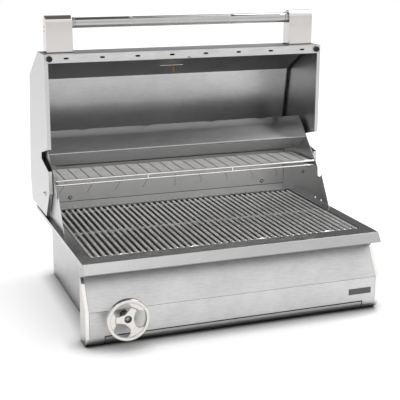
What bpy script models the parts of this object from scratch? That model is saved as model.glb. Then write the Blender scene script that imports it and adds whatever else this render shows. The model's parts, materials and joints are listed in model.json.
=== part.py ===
"""Built-in charcoal grill head with a folded double-wall hood, four rod grates and a lifting charcoal tray.

Metres, +Z up. The empty grill_frame carries the grill's own frame: x is 0 on the centre plane, y runs
back from the front edge of the trim, and z is 0 on top of the trim. The wings, the back wall and the
warming rack are written in wall_frame, whose y is 0 at the rear edge of the trim's opening, and the
hood in hood_pivot, which lies on the hinge. The grill stands on z = 0 with its footprint centred.
"""
import math

import bmesh
import bpy
from mathutils import Matrix, Vector

# Whole grill
grill_width = 0.9144
body_height = 0.241
sheet = 0.0015
gap = 0.0003
overrun = 0.012
weld = 0.00002
round_steps = 4

# Cooking grates, whose length and rods set the opening
grate_length = 0.504
grate_count = 4
rods_per_grate = 11
rod_diameter = 0.009
rod_sides_level = 1
grate_side_gap = 0.0051
grate_end_gap = 0.0037
bar_width = 0.008
bar_height = 0.005
bar_inset = 0.013
finger_wire = 0.005
finger_bulge = 0.006
finger_shares = ((-1, 0), (-0.5, 1), (0.5, 1), (1, 0))

# Trim frame
trim_side_width = 0.0316
trim_front_width = 0.0538
trim_rear_width = 0.0868
lip_drop = 0.0122
slope_run = 0.0193
slope_drop = 0.0259
hem_run = 0.0045
hem_drop = 0.0035
flap_head = 0.050
flap_foot = 0.036
flap_drop = 0.0466

# Body shell
body_side_inset = 0.0467
body_front_inset = 0.0008
body_rear_inset = 0.016

# Firebox liner; its heights are above the floor of the body
ledge_overlap = 0.0045
liner_side_gap = 0.0105
liner_end_inset = 0.0122
liner_slope_run = 0.062
liner_bend_rise = 0.129
liner_foot_rise = 0.063

# Front console and its end caps
cap_width = 0.0112
cap_nose = 0.0045
cap_top_share = 0.19
console_top_drop = 0.028
console_return = 0.0063
console_bend_rise = 0.1054
console_bend_reach = 0.017
console_lean = 0.001
console_roll = 0.028

# Ash drawer
mouth_side_inset = 0.008
mouth_height = 0.0325
drawer_side_gap = 0.0015
drawer_top_gap = 0.0034
drawer_lift = 0.001
pan_side_inset = 0.0185
pan_front_inset = 0.023
pan_rear_gap = 0.036
pan_top_gap = 0.0014
pan_wall = 0.0012
runner_gap = 0.0015
runner_height = 0.0205

# Wings that carry the hood, in the wall's frame
hinge_space = 0.0119
wing_foot_front = -0.2752
wing_peak = (-0.2132, 0.098)
wing_notch = ((-0.1982, 0.0875), (-0.1852, 0.089), (-0.1822, 0.119))
wing_shoulder = (-0.1717, 0.1294)
wing_arm_top = (-0.0487, 0.248)
wing_top = (-0.0252, 0.267)
wing_rear_top = -0.0097
wing_step = 0.166
wing_step_foot = 0.155
wing_flange = 0.0408
wing_hole_radius = 0.0035
wing_holes = ((-0.1732, 0.012), (-0.2172, 0.012))

# Back wall and heat shield, in the wall's frame
wall_crease = 0.025
wall_top = (-0.0037, 0.145)
shield_foot = (-0.0092, 0.150)
shield_nose = (-0.0912, 0.204)
shield_bend = (-0.0482, 0.248)
shield_notch_width = 0.028
shield_notch_depth = 0.006
shield_notches_shares = (-0.72, -0.25, 0.27, 0.68)

# Warming rack and its rests, in the wall's frame
rack_front = -0.1602
rack_depth = 0.150
rack_rise = 0.015
rack_lower_step = 0.014
rack_wire = 0.004
rack_cross_wire = 0.0036
rack_front_wire = 0.006
rack_wire_count = 10
rack_cross_count = 10
rack_cross_inset = 0.0253
rack_weld_share = 0.7
rack_side_gap = 0.0018
rack_channel_width = 0.0125
rack_channel_height = 0.0155
rack_post_x = 0.144
rest_width = 0.012
rest_top = 0.121
rest_leg = 0.014
rest_front_inset = 0.007
rest_rear_inset = 0.010

# Hinge
hinge_setback = 0.0742
hinge_rise = 0.078
hinge_shank_radius = 0.003
hinge_head_radius = 0.0062
hinge_head_height = 0.007
hinge_spacer_radius = 0.007
hinge_nut_radius = 0.0055
hinge_nut_height = 0.0065
hinge_tip_share = 0.7

# Hood, drawn open and written from the hinge: from the front flange round to the closed rear edge
hood_front = -0.070
hood_flange = 0.025
hood_top = 0.442
hood_top_rear = 0.032
hood_slope_end = (0.183, 0.354)
hood_back_end = (0.241, 0.021)
hood_foot = (0.2285, -0.074)
hood_foot_front = 0.097
hood_wall_gap = 0.025
hood_liner_side = 0.0107
hood_slot_count = 8
hood_slot_side = 0.0666
hood_slot_length = 0.016
hood_slot_height = 0.0055
hood_slot_rise = 0.013
hood_flange_notch = (0.010, 0.003)
hood_return = 0.0112
hood_chamfer = ((-0.010, -0.0704), (-0.0694, 0.0145))
spit_notch = ((-0.0692, 0.086), (0.036, 0.106), (0.032, 0.127), (-0.0692, 0.154))
bumper_inset = 0.0152
bumper_radius = 0.009
bumper_height = 0.0074
bumper_rise = 0.013

# Handle
handle_setback = -0.0105
handle_rise = 0.087
handle_diameter = 0.032
handle_wall = 0.002
handle_post_inset = 0.0152
handle_post_width = 0.082
handle_post_radius = 0.0235
collar_radius = 0.0185
collar_width = 0.010

# Thermometer
dial_radius = 0.039
dial_depth = 0.013
probe_radius = 0.003
probe_reach = 0.027
probe_boss_radius = 0.010
probe_boss_reach = 0.005
guard_wire = 0.003
guard_left = -0.045
guard_right = 0.033
guard_stand = 0.008
guard_rise = 0.012

# Hand wheel; it stands just high enough for the ash drawer to pass under its rim
wheel_side_inset = 0.0625
wheel_drawer_gap = 0.0005
wheel_radius = 0.0608
wheel_rim_width = 0.010
wheel_rim_depth = 0.016
wheel_rim_round = 0.0025
wheel_face_reach = 0.052
wheel_spoke_recess = 0.005
wheel_spoke_depth = 0.008
wheel_spoke_half_width = 0.0085
wheel_spoke_flare = 0.025
wheel_spoke_count = 3
wheel_spoke_shares = ((0, 0.07), (0.45, 0), (0.67, 0.06), (0.8, 0.27), (0.86, 0.95), (1, 1))
wheel_first_spoke = math.radians(59.0)
wheel_hub_radius = 0.0175
wheel_hub_rear = 0.004
wheel_socket_radius = 0.010
wheel_socket_depth = 0.013
wheel_screw_radius = 0.0025
wheel_screw_head_radius = 0.0075
wheel_screw_key_radius = 0.0035

# Worm drive and cross shaft
shaft_radius = 0.005
shaft_fit = 0.0003
worm_radius = 0.006
worm_length = 0.024
gear_module = 0.001
gear_teeth = 30
gear_width = 0.012
gear_clearance = 0.0149
lift_shaft_inset = 0.014
bracket_inset = 0.0305
bracket_width = 0.006
bracket_plate = 0.002
bracket_foot_width = 0.022
bracket_foot_height = 0.040
bearing_half = 0.012
bearing_depth = 0.014
bushing_flange_radius = 0.013
bushing_flange = 0.0026
bushing_sleeve_radius = 0.0078
bushing_sleeve = 0.0052

# Lift arms, charcoal tray and its guides
arm_inset = 0.075
arm_width = 0.012
arm_thickness = 0.006
arm_hub_radius = 0.009
arm_tip_radius = 0.008
arm_tip_rise = 0.0413
arm_knee_reach = 0.010
tray_side_gap = 0.005
tray_front_gap = 0.022
tray_rear_gap = 0.018
tray_wall_height = 0.045
tray_slot_rows = 9
tray_slot_inner = 0.015
tray_slot_margin = 0.012
tray_slot_depth = 0.012
coal_bar_count = 11
coal_bar_diameter = 0.007
coal_rail_inset = 0.020
coal_rail_width = 0.010
coal_rail_height = 0.010
guide_depth = 0.0182
guide_width = 0.028
guide_wall = 0.0015
guide_top_drop = 0.025
guide_foot_rise = 0.065
lug_width = 0.015
lug_height = 0.020
lug_clearance = 0.003

half_width = grill_width / 2
side_inner = half_width - sheet
half_opening = half_width - trim_side_width
opening_front = trim_front_width
opening_rear = opening_front + grate_length + 2 * grate_end_gap
trim_depth = opening_rear + trim_rear_width
floor = -body_height

rod_radius = rod_diameter / 2
rod_pitch = (2 * (half_opening - grate_side_gap) - rod_diameter) / (grate_count * rods_per_grate - 1)
rod_front = opening_front + grate_end_gap
rod_rear = opening_rear - grate_end_gap

half_body = half_width - body_side_inset
body_front = opening_front - body_front_inset
body_rear = trim_depth - body_rear_inset
ledge_top = -lip_drop - gap
ledge_under = ledge_top - sheet
body_top = ledge_under - gap
half_liner = half_body - liner_side_gap
liner_front_top = opening_front + liner_end_inset
liner_front_low = liner_front_top + liner_slope_run
liner_rear = opening_rear - liner_end_inset

half_console = half_width - cap_width
console_top = body_front - console_return
half_mouth = half_body - mouth_side_inset
mouth_top = floor + mouth_height
drawer_top = mouth_top - drawer_top_gap
half_pan = half_mouth - pan_side_inset
pan_front = body_front - pan_front_inset
pan_rear = body_rear - pan_rear_gap
pan_bottom = floor + sheet + gap

wing_outer = side_inner - hinge_space
wing_inner = wing_outer - sheet
wing_flange_end = wing_outer - wing_flange
rack_rear = rack_front + rack_depth
rack_top = rest_top + rack_rise
rack_channel_outer = wing_inner - rack_side_gap
rack_channel_inner = rack_channel_outer - rack_channel_width
hinge_y = opening_rear - hinge_setback
handle_z = hood_top + handle_rise
handle_post_outer = half_width - handle_post_inset
handle_post_inner = handle_post_outer - handle_post_width

console_toe = console_lean - console_bend_reach
panel_tilt = math.atan2(console_lean, console_bend_rise)
panel_inward = Vector((0, math.cos(panel_tilt), math.sin(panel_tilt)))
panel_down = Vector((0, math.sin(panel_tilt), -math.cos(panel_tilt)))
rim_low = wheel_rim_round - panel_down.z * (wheel_radius - wheel_rim_round)
wheel_z = drawer_top + wheel_drawer_gap + rim_low + panel_inward.z * (wheel_face_reach - wheel_rim_round)
panel_slope = math.tan(panel_tilt)
wheel_place = Vector((
    wheel_side_inset - half_body,
    (floor + console_bend_rise - wheel_z) * panel_slope - console_bend_reach,
    wheel_z,
))
gear_radius = gear_teeth * gear_module / 2
shaft_spread = (worm_radius + gear_radius) * panel_down
lift_y = liner_front_low - gear_radius - gear_clearance
worm_reach = (lift_y - wheel_place.y - shaft_spread.y) / panel_inward.y
lift_place = wheel_place + worm_reach * panel_inward + shaft_spread
lift_place.x = 0

guide_outer = half_liner - sheet - gap
guide_inner = guide_outer - guide_depth
half_tray = guide_inner - tray_side_gap
tray_front = liner_front_low + tray_front_gap
tray_rear = liner_rear - tray_rear_gap
tray_middle = (tray_front + tray_rear) / 2
arm_x = half_tray - arm_inset
arm_tip_z = floor + arm_tip_rise
tray_bottom = arm_tip_z + arm_tip_radius + gap

rim_reach = (wheel_face_reach - wheel_rim_round) * panel_inward.y + wheel_rim_round
front_reach = rim_reach + (wheel_radius - wheel_rim_round) * panel_inward.z - wheel_place.y
mid_depth = (hinge_y + hood_back_end[0] - front_reach) / 2

for leftover in list(bpy.data.objects):
    bpy.data.objects.remove(leftover, do_unlink=True)
model = bpy.data.collections.new("charcoal_grill")
cutters = bpy.data.collections.new("cutters")
for group in (model, cutters):
    bpy.context.scene.collection.children.link(group)


def pivot(name, place, carrier=None, turn=(0, 0, 0)):
    """An empty at a place of its carrier's frame, which carries a group of pieces."""
    empty = bpy.data.objects.new(name, None)
    empty.location = place
    empty.rotation_euler = turn
    empty.parent = carrier
    model.objects.link(empty)
    return empty


wheel_attitude = (math.pi / 2 + panel_tilt, 0, 0)
grill_frame = pivot("grill_frame", (0, -mid_depth, body_height))
wall_frame = pivot("wall_frame", (0, opening_rear, 0), grill_frame)
hood_pivot = pivot("hood_pivot", (0, hinge_y, hinge_rise), grill_frame)
lift_pivot = pivot("lift_pivot", lift_place, grill_frame)
tray_pivot = pivot("tray_pivot", (0, tray_middle, tray_bottom), grill_frame)
drawer_pivot = pivot("drawer_pivot", (0, pan_front, pan_bottom), grill_frame)
rack_pivot = pivot("rack_pivot", (0, rack_front, rack_top), wall_frame)
wheel_pivot = pivot("wheel_pivot", wheel_place, grill_frame, wheel_attitude)
bushing_frame = pivot("bushing_frame", wheel_place, grill_frame, wheel_attitude)
own_frames = (grill_frame, wall_frame, hood_pivot, wheel_pivot, bushing_frame)


def finish(name, colour, roughness, metallic):
    material = bpy.data.materials.new(name)
    material.use_nodes = True
    shader = material.node_tree.nodes["Principled BSDF"]
    shader.inputs["Base Color"].default_value = (*colour, 1)
    shader.inputs["Roughness"].default_value = roughness
    shader.inputs["Metallic"].default_value = metallic
    return material


brushed = finish("brushed_stainless", (0.62, 0.61, 0.59), 0.32, 1)
inside_steel = finish("matt_stainless", (0.55, 0.54, 0.52), 0.45, 1)
polished = finish("polished_stainless", (0.75, 0.74, 0.72), 0.12, 1)
heated = finish("heated_steel", (0.36, 0.33, 0.28), 0.5, 1)
zinc = finish("zinc_plated_steel", (0.58, 0.58, 0.56), 0.4, 1)
dark_steel = finish("dark_steel", (0.05, 0.05, 0.05), 0.5, 1)
rubber = finish("black_rubber", (0.02, 0.02, 0.02), 0.8, 0)
brass = finish("brass", (0.55, 0.45, 0.22), 0.35, 1)
bronze = finish("bearing_bronze", (0.45, 0.30, 0.15), 0.4, 1)


def place_object(item, carrier):
    """Hangs an object on its carrier; a mesh written in the frame round a pivot keeps its place."""
    item.parent = carrier
    if carrier not in own_frames:
        item.matrix_parent_inverse = Matrix.Translation(-carrier.location)


def part(name, mesh, material, carrier=grill_frame, round_piece=False):
    mesh.materials.clear()
    mesh.materials.append(material)
    item = bpy.data.objects.new(name, mesh)
    model.objects.link(item)
    place_object(item, carrier)
    if round_piece:
        mesh.shade_smooth()
        mesh.set_sharp_from_angle(angle=math.radians(35))
    return item


def boolean(target, operation, *meshes, thickness=0):
    """Joins meshes to the target or cuts them out of it; a thickness makes each one a folded sheet."""
    for mesh in meshes:
        tool = bpy.data.objects.new(target.name + "_" + operation.lower(), mesh)
        tool.hide_render = True
        tool.display_type = "WIRE"
        cutters.objects.link(tool)
        place_object(tool, target.parent)
        if thickness:
            thicken(tool, thickness)
        modifier = target.modifiers.new(operation.title(), "BOOLEAN")
        modifier.operation = operation
        modifier.solver = "EXACT"
        modifier.object = tool
    return target


def join(target, *meshes, thickness=0):
    return boolean(target, "UNION", *meshes, thickness=thickness)


def cut(target, *meshes):
    return boolean(target, "DIFFERENCE", *meshes)


def thicken(item, thickness=sheet):
    """Gives an open sheet its wall, on the left of the profile's line of travel."""
    wall = item.modifiers.new("Wall", "SOLIDIFY")
    wall.thickness = thickness
    wall.offset = 1
    wall.use_even_offset = True
    return item


def bevel(item, width, segments=2):
    edge = item.modifiers.new("Edge", "BEVEL")
    edge.width = width
    edge.segments = segments
    edge.limit_method = "ANGLE"
    edge.angle_limit = math.radians(40)
    edge.harden_normals = False
    return item


def mesh_of(shape, name="shape"):
    mesh = bpy.data.meshes.new(name)
    shape.to_mesh(mesh)
    shape.free()
    return mesh


def box(low, high):
    low, high = Vector(low), Vector(high)
    shape = bmesh.new()
    scale = Matrix.Diagonal((*(high - low), 1))
    bmesh.ops.create_cube(shape, size=1, matrix=Matrix.Translation((low + high) / 2) @ scale)
    return mesh_of(shape)


def rod(start, end, radius, sides=16):
    start, end = Vector(start), Vector(end)
    axis = end - start
    turn = axis.to_track_quat("Z", "Y").to_matrix().to_4x4()
    shape = bmesh.new()
    bmesh.ops.create_cone(
        shape, cap_ends=True, segments=sides, radius1=radius, radius2=radius, depth=axis.length,
        matrix=Matrix.Translation((start + end) / 2) @ turn,
    )
    return mesh_of(shape)


def mesh_of_curve(curve, move=Matrix.Identity(4)):
    """The curve as one closed mesh, its loose caps welded on."""
    guide = bpy.data.objects.new("guide", curve)
    bpy.context.scene.collection.objects.link(guide)
    seen = guide.evaluated_get(bpy.context.evaluated_depsgraph_get())
    mesh = bpy.data.meshes.new_from_object(seen)
    shape = bmesh.new()
    shape.from_mesh(mesh)
    bmesh.ops.remove_doubles(shape, verts=shape.verts, dist=weld)
    shape.transform(move)
    bpy.data.objects.remove(guide)
    return mesh_of(shape)


def flat_curve(lines, closed, half_height):
    curve = bpy.data.curves.new("outline", "CURVE")
    curve.dimensions = "2D"
    curve.fill_mode = "BOTH" if closed else "NONE"
    curve.extrude = half_height
    for line in lines:
        spline = curve.splines.new("POLY")
        spline.points.add(len(line) - 1)
        spline.use_cyclic_u = closed
        for point, (across, up) in zip(spline.points, line):
            point.co = (across, up, 0, 1)
    return curve


def across_x(low, high):
    """Stands a flat outline in the y-z plane, between two places along x."""
    return Matrix(((0, 0, 1, (low + high) / 2), (1, 0, 0, 0), (0, 1, 0, 0), (0, 0, 0, 1)))


def plate(low, high, *outlines):
    """A plate in the y-z plane from low to high along x; further outlines are its holes."""
    return mesh_of_curve(flat_curve(outlines, True, (high - low) / 2), across_x(low, high))


def level_plate(low, high, *outlines):
    """A plate in the x-y plane from low to high along z."""
    curve = flat_curve(outlines, True, (high - low) / 2)
    return mesh_of_curve(curve, Matrix.Translation((0, 0, (low + high) / 2)))


def folded(low, high, line):
    """An open sheet whose y-z profile runs from low to high along x."""
    return mesh_of_curve(flat_curve([line], False, (high - low) / 2), across_x(low, high))


def wire(points, radius, level=1):
    curve = bpy.data.curves.new("wire", "CURVE")
    curve.dimensions = "3D"
    curve.bevel_depth = radius
    curve.bevel_resolution = level
    curve.use_fill_caps = True
    spline = curve.splines.new("POLY")
    spline.points.add(len(points) - 1)
    for point, place in zip(spline.points, points):
        point.co = (*place, 1)
    return mesh_of_curve(curve)


def gathered(meshes):
    """Several meshes as one, each still its own closed shell."""
    shape = bmesh.new()
    for mesh in meshes:
        shape.from_mesh(mesh)
    return mesh_of(shape)


def turned(item, steps=32):
    screw = item.modifiers.new("Turn", "SCREW")
    screw.axis = "Z"
    screw.steps = steps
    screw.render_steps = steps
    screw.use_merge_vertices = True
    screw.merge_threshold = weld
    screw.use_smooth_shade = True
    return item


def profile_mesh(points):
    """A closed line of (radius, height) points that a Screw turns about z."""
    shape = bmesh.new()
    corners = [shape.verts.new((radius, 0, height)) for radius, height in points]
    for first, second in zip(corners, corners[1:] + corners[:1]):
        shape.edges.new((first, second))
    return mesh_of(shape)


def arc(centre, radius, start, end, steps=round_steps):
    return [
        (centre[0] + radius * math.cos(start + (end - start) * step / steps),
         centre[1] + radius * math.sin(start + (end - start) * step / steps))
        for step in range(steps + 1)
    ]


def rounded(points, radii, steps=round_steps, closed=False):
    """The line with each corner that has a radius turned into an arc."""
    line = []
    last = len(points) - 1
    for index, point in enumerate(points):
        radius = radii.get(index, 0)
        if not radius or (not closed and index in (0, last)):
            line.append(tuple(point))
            continue
        here = Vector(point)
        before = (Vector(points[index - 1]) - here).normalized()
        after = (Vector(points[(index + 1) % len(points)]) - here).normalized()
        half = before.angle(after) / 2
        centre = here + (before + after).normalized() * radius / math.sin(half)
        start = here + before * radius / math.tan(half) - centre
        turn = -before.angle_signed(-after)
        for step in range(steps + 1):
            line.append(tuple(centre + Matrix.Rotation(turn * step / steps, 2) @ start))
    return line


def moved_left(line, distance):
    """The open line moved to its left by a distance, corners kept sharp."""
    points = [Vector(point) for point in line]
    normals = []
    for first, second in zip(points, points[1:]):
        run = (second - first).normalized()
        normals.append(Vector((-run.y, run.x)))
    result = [points[0] + normals[0] * distance]
    for index in range(1, len(points) - 1):
        mean = (normals[index - 1] + normals[index]).normalized()
        result.append(points[index] + mean * distance / mean.dot(normals[index]))
    result.append(points[-1] + normals[-1] * distance)
    return [tuple(point) for point in result]


def side_pair(name, builder):
    """Builds a left and a right piece; builder gets the side's sign and name."""
    for sign, side in ((-1, "left"), (1, "right")):
        builder(sign, name + "_" + side)


def span(sign, inner, outer):
    """The low and high x of a piece that lies from inner to outer on one side."""
    return (inner, outer) if sign > 0 else (-outer, -inner)


def spread(count, first, last):
    """Places from the first to the last, evenly."""
    return [first + (last - first) * index / (count - 1) for index in range(count)]


def body_shell():
    whole = box((-half_body, body_front, floor), (half_body, body_rear, body_top))
    shell = part("body_shell", whole, brushed)
    inner = half_body - sheet
    cavity = box((-inner, body_front + sheet, floor + sheet), (inner, body_rear - sheet, body_top + overrun))
    side = half_mouth - sheet / 2
    mouth = box((-side, body_front - overrun, floor + sheet), (side, body_front + overrun, mouth_top))
    cut(shell, cavity, mouth, shaft_bore(bushing_sleeve_radius))


def shaft_bore(radius):
    """A round cutter along the wheel shaft, from in front of the console to the worm."""
    start = wheel_place - overrun * panel_inward
    return rod(start, wheel_place + worm_reach * panel_inward, radius, 20)


def firebox_liner():
    """A ledge under the trim that carries the grates, and an open box below it with a sloping front."""
    half_ledge = half_opening + sheet + ledge_overlap
    ledge_front = opening_front - sheet - ledge_overlap
    liner = part("firebox_liner", box(
        (-half_ledge, ledge_front, ledge_under), (half_ledge, body_rear + ledge_overlap, ledge_top)), heated)
    bend = floor + liner_bend_rise
    foot = floor + liner_foot_rise
    slope = liner_slope_run / (ledge_top - bend)
    middle = ledge_top - sheet / 2
    outer_line = [
        (liner_front_top - slope * sheet / 2, middle), (liner_front_low, bend), (liner_front_low, foot),
        (liner_rear, foot), (liner_rear, middle),
    ]
    front = liner_front_low + sheet
    rear = liner_rear - sheet
    inner_line = [
        (liner_front_top + sheet - overrun * slope, ledge_top + overrun),
        (front, bend), (front, foot - overrun),
        (rear, foot - overrun), (rear, ledge_top + overrun),
    ]
    join(liner, plate(-half_liner, half_liner, outer_line))
    cut(liner, plate(-half_liner + sheet, half_liner - sheet, inner_line))


def top_trim():
    """One folded sheet from the front hem over the top to the rear lip, with side lips and an opening.

    At each side a flap closes the end of the front slope, down to the console's end cap.
    """
    line = [
        (trim_depth, -lip_drop), (trim_depth, 0), (0, 0), (-slope_run, -slope_drop),
        (-slope_run + hem_run, -slope_drop - hem_drop),
    ]
    trim = thicken(part("top_trim", folded(-half_width, half_width, line), brushed))
    middle = -sheet / 2
    for sign in (-1, 1):
        low, high = span(sign, side_inner, half_width)
        flap = [(-slope_run, -slope_drop), (0, middle), (flap_head, middle), (flap_foot, -flap_drop)]
        join(trim, box((low, sheet / 2, -lip_drop), (high, trim_depth - sheet / 2, middle)))
        join(trim, plate(low, high, flap))
    rim = half_opening + sheet
    join(trim, box((-rim, opening_front - sheet, -lip_drop), (rim, opening_rear + sheet, middle)))
    cut(trim, box(
        (-half_opening, opening_front, -lip_drop - overrun), (half_opening, opening_rear, overrun)))


def console_line(rear, lift=0):
    """The console's outer line: a short return, down and forward to the bend, down and under to the rear."""
    return rounded(
        [
            (rear, -console_top_drop), (console_top, -console_top_drop),
            (-console_bend_reach, floor + console_bend_rise),
            (console_toe, floor + lift), (rear, floor + lift),
        ],
        {3: console_roll}, round_steps + 2,
    )


def console():
    half = half_console - gap
    panel = thicken(part("console_panel", folded(-half, half, console_line(body_front - gap)), brushed))
    mouth = box((-half_mouth, -overrun * 2, floor - overrun), (half_mouth, body_front + overrun, mouth_top))
    cut(panel, mouth, shaft_bore(bushing_sleeve_radius + gap))

    def end_cap(sign, name):
        line = console_line(body_front + gap)
        front, height = Vector(line[1]).lerp(Vector(line[2]), cap_top_share)
        outline = [(front + cap_nose, height), (front, height), *line[2:]]
        bevel(part(name, plate(*span(sign, half_console, half_width), outline), polished), sheet / 2, 1)

    side_pair("console_end", end_cap)


def cooking_grates():
    """Rods bent down at both ends on three flat cross bars; a bent link in front takes a finger."""
    height = -rod_radius - gap
    reach = ledge_top + gap
    low, high = rod_front + rod_radius, rod_rear - rod_radius
    half = (rods_per_grate - 1) * rod_pitch / 2
    bar_rows = spread(3, low + bar_inset, high - bar_inset)
    rods = []
    for index, x in enumerate(spread(rods_per_grate, -half, half)):
        front = [(x, low, reach), (x, low, height)]
        if index == rods_per_grate // 2:
            front = [(x, bar_rows[0], height)]
        rods.append(wire([*front, (x, high, height), (x, high, reach)], rod_radius, rod_sides_level))
    side = half + rod_radius
    frame = [
        box((-side, y - bar_width / 2, reach), (side, y + bar_width / 2, reach + bar_height))
        for y in bar_rows
    ]
    link = [(along * rod_pitch, low + finger_bulge * rise, height) for along, rise in finger_shares]
    frame.append(wire(link, finger_wire / 2))
    frame_mesh = gathered(frame)
    mesh = gathered(rods)
    pitch = rods_per_grate * rod_pitch
    for number in range(grate_count):
        grate = part("cooking_grate_%d" % (number + 1), mesh, inside_steel)
        grate.location.x = (number - (grate_count - 1) / 2) * pitch
        join(grate, frame_mesh)
        grate.modifiers[-1].object.location = grate.location


def wing(sign, name):
    """Side plate with a spit notch, a forward leaning arm and a rear flange, seated on the trim."""
    rear = -sheet / 2
    outline = [
        (wing_foot_front, gap), wing_peak, *wing_notch, wing_shoulder, wing_arm_top, wing_top,
        (wing_rear_top, wing_top[1] - (wing_rear_top - wing_top[0])), (wing_rear_top, wing_step),
        (rear, wing_step_foot), (rear, gap),
    ]
    piece = part(name, plate(*span(sign, wing_inner, wing_outer), outline), brushed, wall_frame)
    low, high = span(sign, wing_flange_end, wing_outer)
    join(piece, box((low, -sheet - gap, gap), (high, -gap, wing_step_foot - sheet)))
    x_low, x_high = span(sign, wing_inner - overrun, wing_outer + overrun)
    bores = [rod((x_low, y, z), (x_high, y, z), wing_hole_radius, 10) for y, z in wing_holes]
    hinge_axis = (-hinge_setback, hinge_rise)
    bores.append(rod((x_low, *hinge_axis), (x_high, *hinge_axis), hinge_shank_radius + shaft_fit, 12))
    cut(piece, gathered(bores))


def back_wall():
    half = wing_flange_end - gap
    wall = folded(-half, half, [wall_top, (0, wall_crease), (0, gap)])
    thicken(part("back_wall", wall, brushed, wall_frame))


def heat_shield():
    half = wing_inner - gap
    line = [wing_top, shield_bend, shield_nose, shield_foot]
    shield = thicken(part("heat_shield", folded(-half, half, line), brushed, wall_frame))
    edge_y, edge_z = wing_top
    notches = []
    for share in shield_notches_shares:
        x = share * half
        notches.append(box(
            (x - shield_notch_width / 2, edge_y - shield_notch_depth, edge_z - shield_notch_depth),
            (x + shield_notch_width / 2, edge_y + overrun, edge_z + overrun),
        ))
    cut(shield, gathered(notches))


def rack_rest(sign, name):
    front, rear = rack_front + rest_front_inset, rack_rear - rest_rear_inset
    outer = wing_inner - gap
    low, high = span(sign, outer - rest_width, outer)
    piece = part(name, box((low, front, rest_top - sheet), (high, rear, rest_top)), brushed, wall_frame)
    low, high = span(sign, outer - sheet, outer)
    join(piece, box((low, front, rest_top - rest_leg), (high, rear, rest_top - sheet / 2)))


def warming_rack():
    """Long wires on cross wires, welded into a channel at each end; a lower wire stiffens the front."""
    wire_radius = rack_wire / 2
    cross_radius = rack_cross_wire / 2
    front_radius = rack_front_wire / 2
    end = rack_channel_outer - sheet / 2
    low_y = rack_front + front_radius / 2
    low_z = rack_top - rack_lower_step
    rows = spread(rack_wire_count, rack_front, rack_rear - rack_depth / rack_wire_count)
    long_wires = [wire([(-end, y, rack_top), (end, y, rack_top)], wire_radius, 0) for y in rows[1:]]
    for y, z in ((rack_front, rack_top), (low_y, low_z)):
        long_wires.append(wire([(-end, y, z), (end, y, z)], front_radius))
    rack = part("warming_rack", gathered(long_wires), inside_steel, rack_pivot)
    cross_z = rack_top - (wire_radius + cross_radius) * rack_weld_share
    cross_end = rack_channel_inner - rack_cross_inset
    crosses = [
        wire([(x, rack_front, cross_z), (x, rack_rear - cross_radius, cross_z)], cross_radius, 0)
        for x in spread(rack_cross_count, -cross_end, cross_end)
    ]
    for x in (-rack_post_x, rack_post_x):
        crosses.append(wire([(x, low_y, low_z), (x, rack_front, rack_top)], cross_radius, 0))
    join(rack, gathered(crosses))
    channel_low = rest_top + gap
    front = rack_front - front_radius
    for sign in (-1, 1):
        low, high = span(sign, rack_channel_inner, rack_channel_outer)
        foot = box((low, front, channel_low), (high, rack_rear, channel_low + sheet))
        low, high = span(sign, rack_channel_outer - sheet, rack_channel_outer)
        wall_top_z = channel_low + rack_channel_height
        join(rack, foot, box((low, front, channel_low + sheet / 2), (high, rack_rear, wall_top_z)))


def hood_line():
    """The outer line of the skin, from the front flange over the top and down to the foot's edge."""
    return [
        (hood_front, hood_top - hood_flange), (hood_front, hood_top), (hood_top_rear, hood_top),
        hood_slope_end, hood_back_end, hood_foot, (hood_foot_front, hood_foot[1]),
    ]


def slope_frame():
    """Middle of the hood's sloping panel, its outward direction and its run down the slope."""
    first = Vector((0, hood_top_rear, hood_top))
    second = Vector((0, *hood_slope_end))
    run = (second - first).normalized()
    return (first + second) / 2, Vector((0, -run.z, run.y)), run


def hood():
    skin_half = side_inner - gap
    line = hood_line()[::-1]
    skin = thicken(part("hood_skin", folded(-skin_half, skin_half, line), brushed, hood_pivot))
    slot_end = half_width - hood_slot_side
    slots = [slot_cutter(x, hood_top - hood_slot_rise) for x in spread(hood_slot_count, -slot_end, slot_end)]
    notch_width, notch_height = hood_flange_notch
    edge = hood_top - hood_flange
    slots.append(box(
        (-notch_width / 2, hood_front - overrun, edge - overrun),
        (notch_width / 2, hood_front + overrun, edge + notch_height)))
    cut(skin, gathered(slots), probe_bore(probe_boss_radius + gap))

    liner_half = half_width - hood_liner_side
    inner = moved_left(line, hood_wall_gap)
    front_end = (hood_front + sheet + gap, inner[5][1])
    foot = Vector(inner[1])
    down = (foot - Vector(inner[2])).normalized()
    foot += down * (foot.y - hood_foot[1] - sheet - gap) / -down.y
    liner_line = [tuple(foot), *inner[2:5], front_end]
    liner = part("hood_liner", folded(-liner_half, liner_half, liner_line), heated, hood_pivot)
    cut(thicken(liner), probe_bore(probe_boss_radius + gap))
    side_pair("hood_side", hood_side)


def slot_cutter(x, z):
    """A slot with round ends through the hood's front flange."""
    half = (hood_slot_length - hood_slot_height) / 2
    radius = hood_slot_height / 2
    right = arc((x + half, z), radius, -math.pi / 2, math.pi / 2)
    left = arc((x - half, z), radius, math.pi / 2, 3 * math.pi / 2)
    curve = flat_curve([right + left], True, overrun)
    stand = Matrix(((1, 0, 0, 0), (0, 0, -1, hood_front), (0, 1, 0, 0), (0, 0, 0, 1)))
    return mesh_of_curve(curve, stand)


def probe_bore(radius):
    middle, outward, run = slope_frame()
    return rod(middle + outward * overrun, middle - outward * (hood_wall_gap + overrun), radius, 20)


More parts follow.
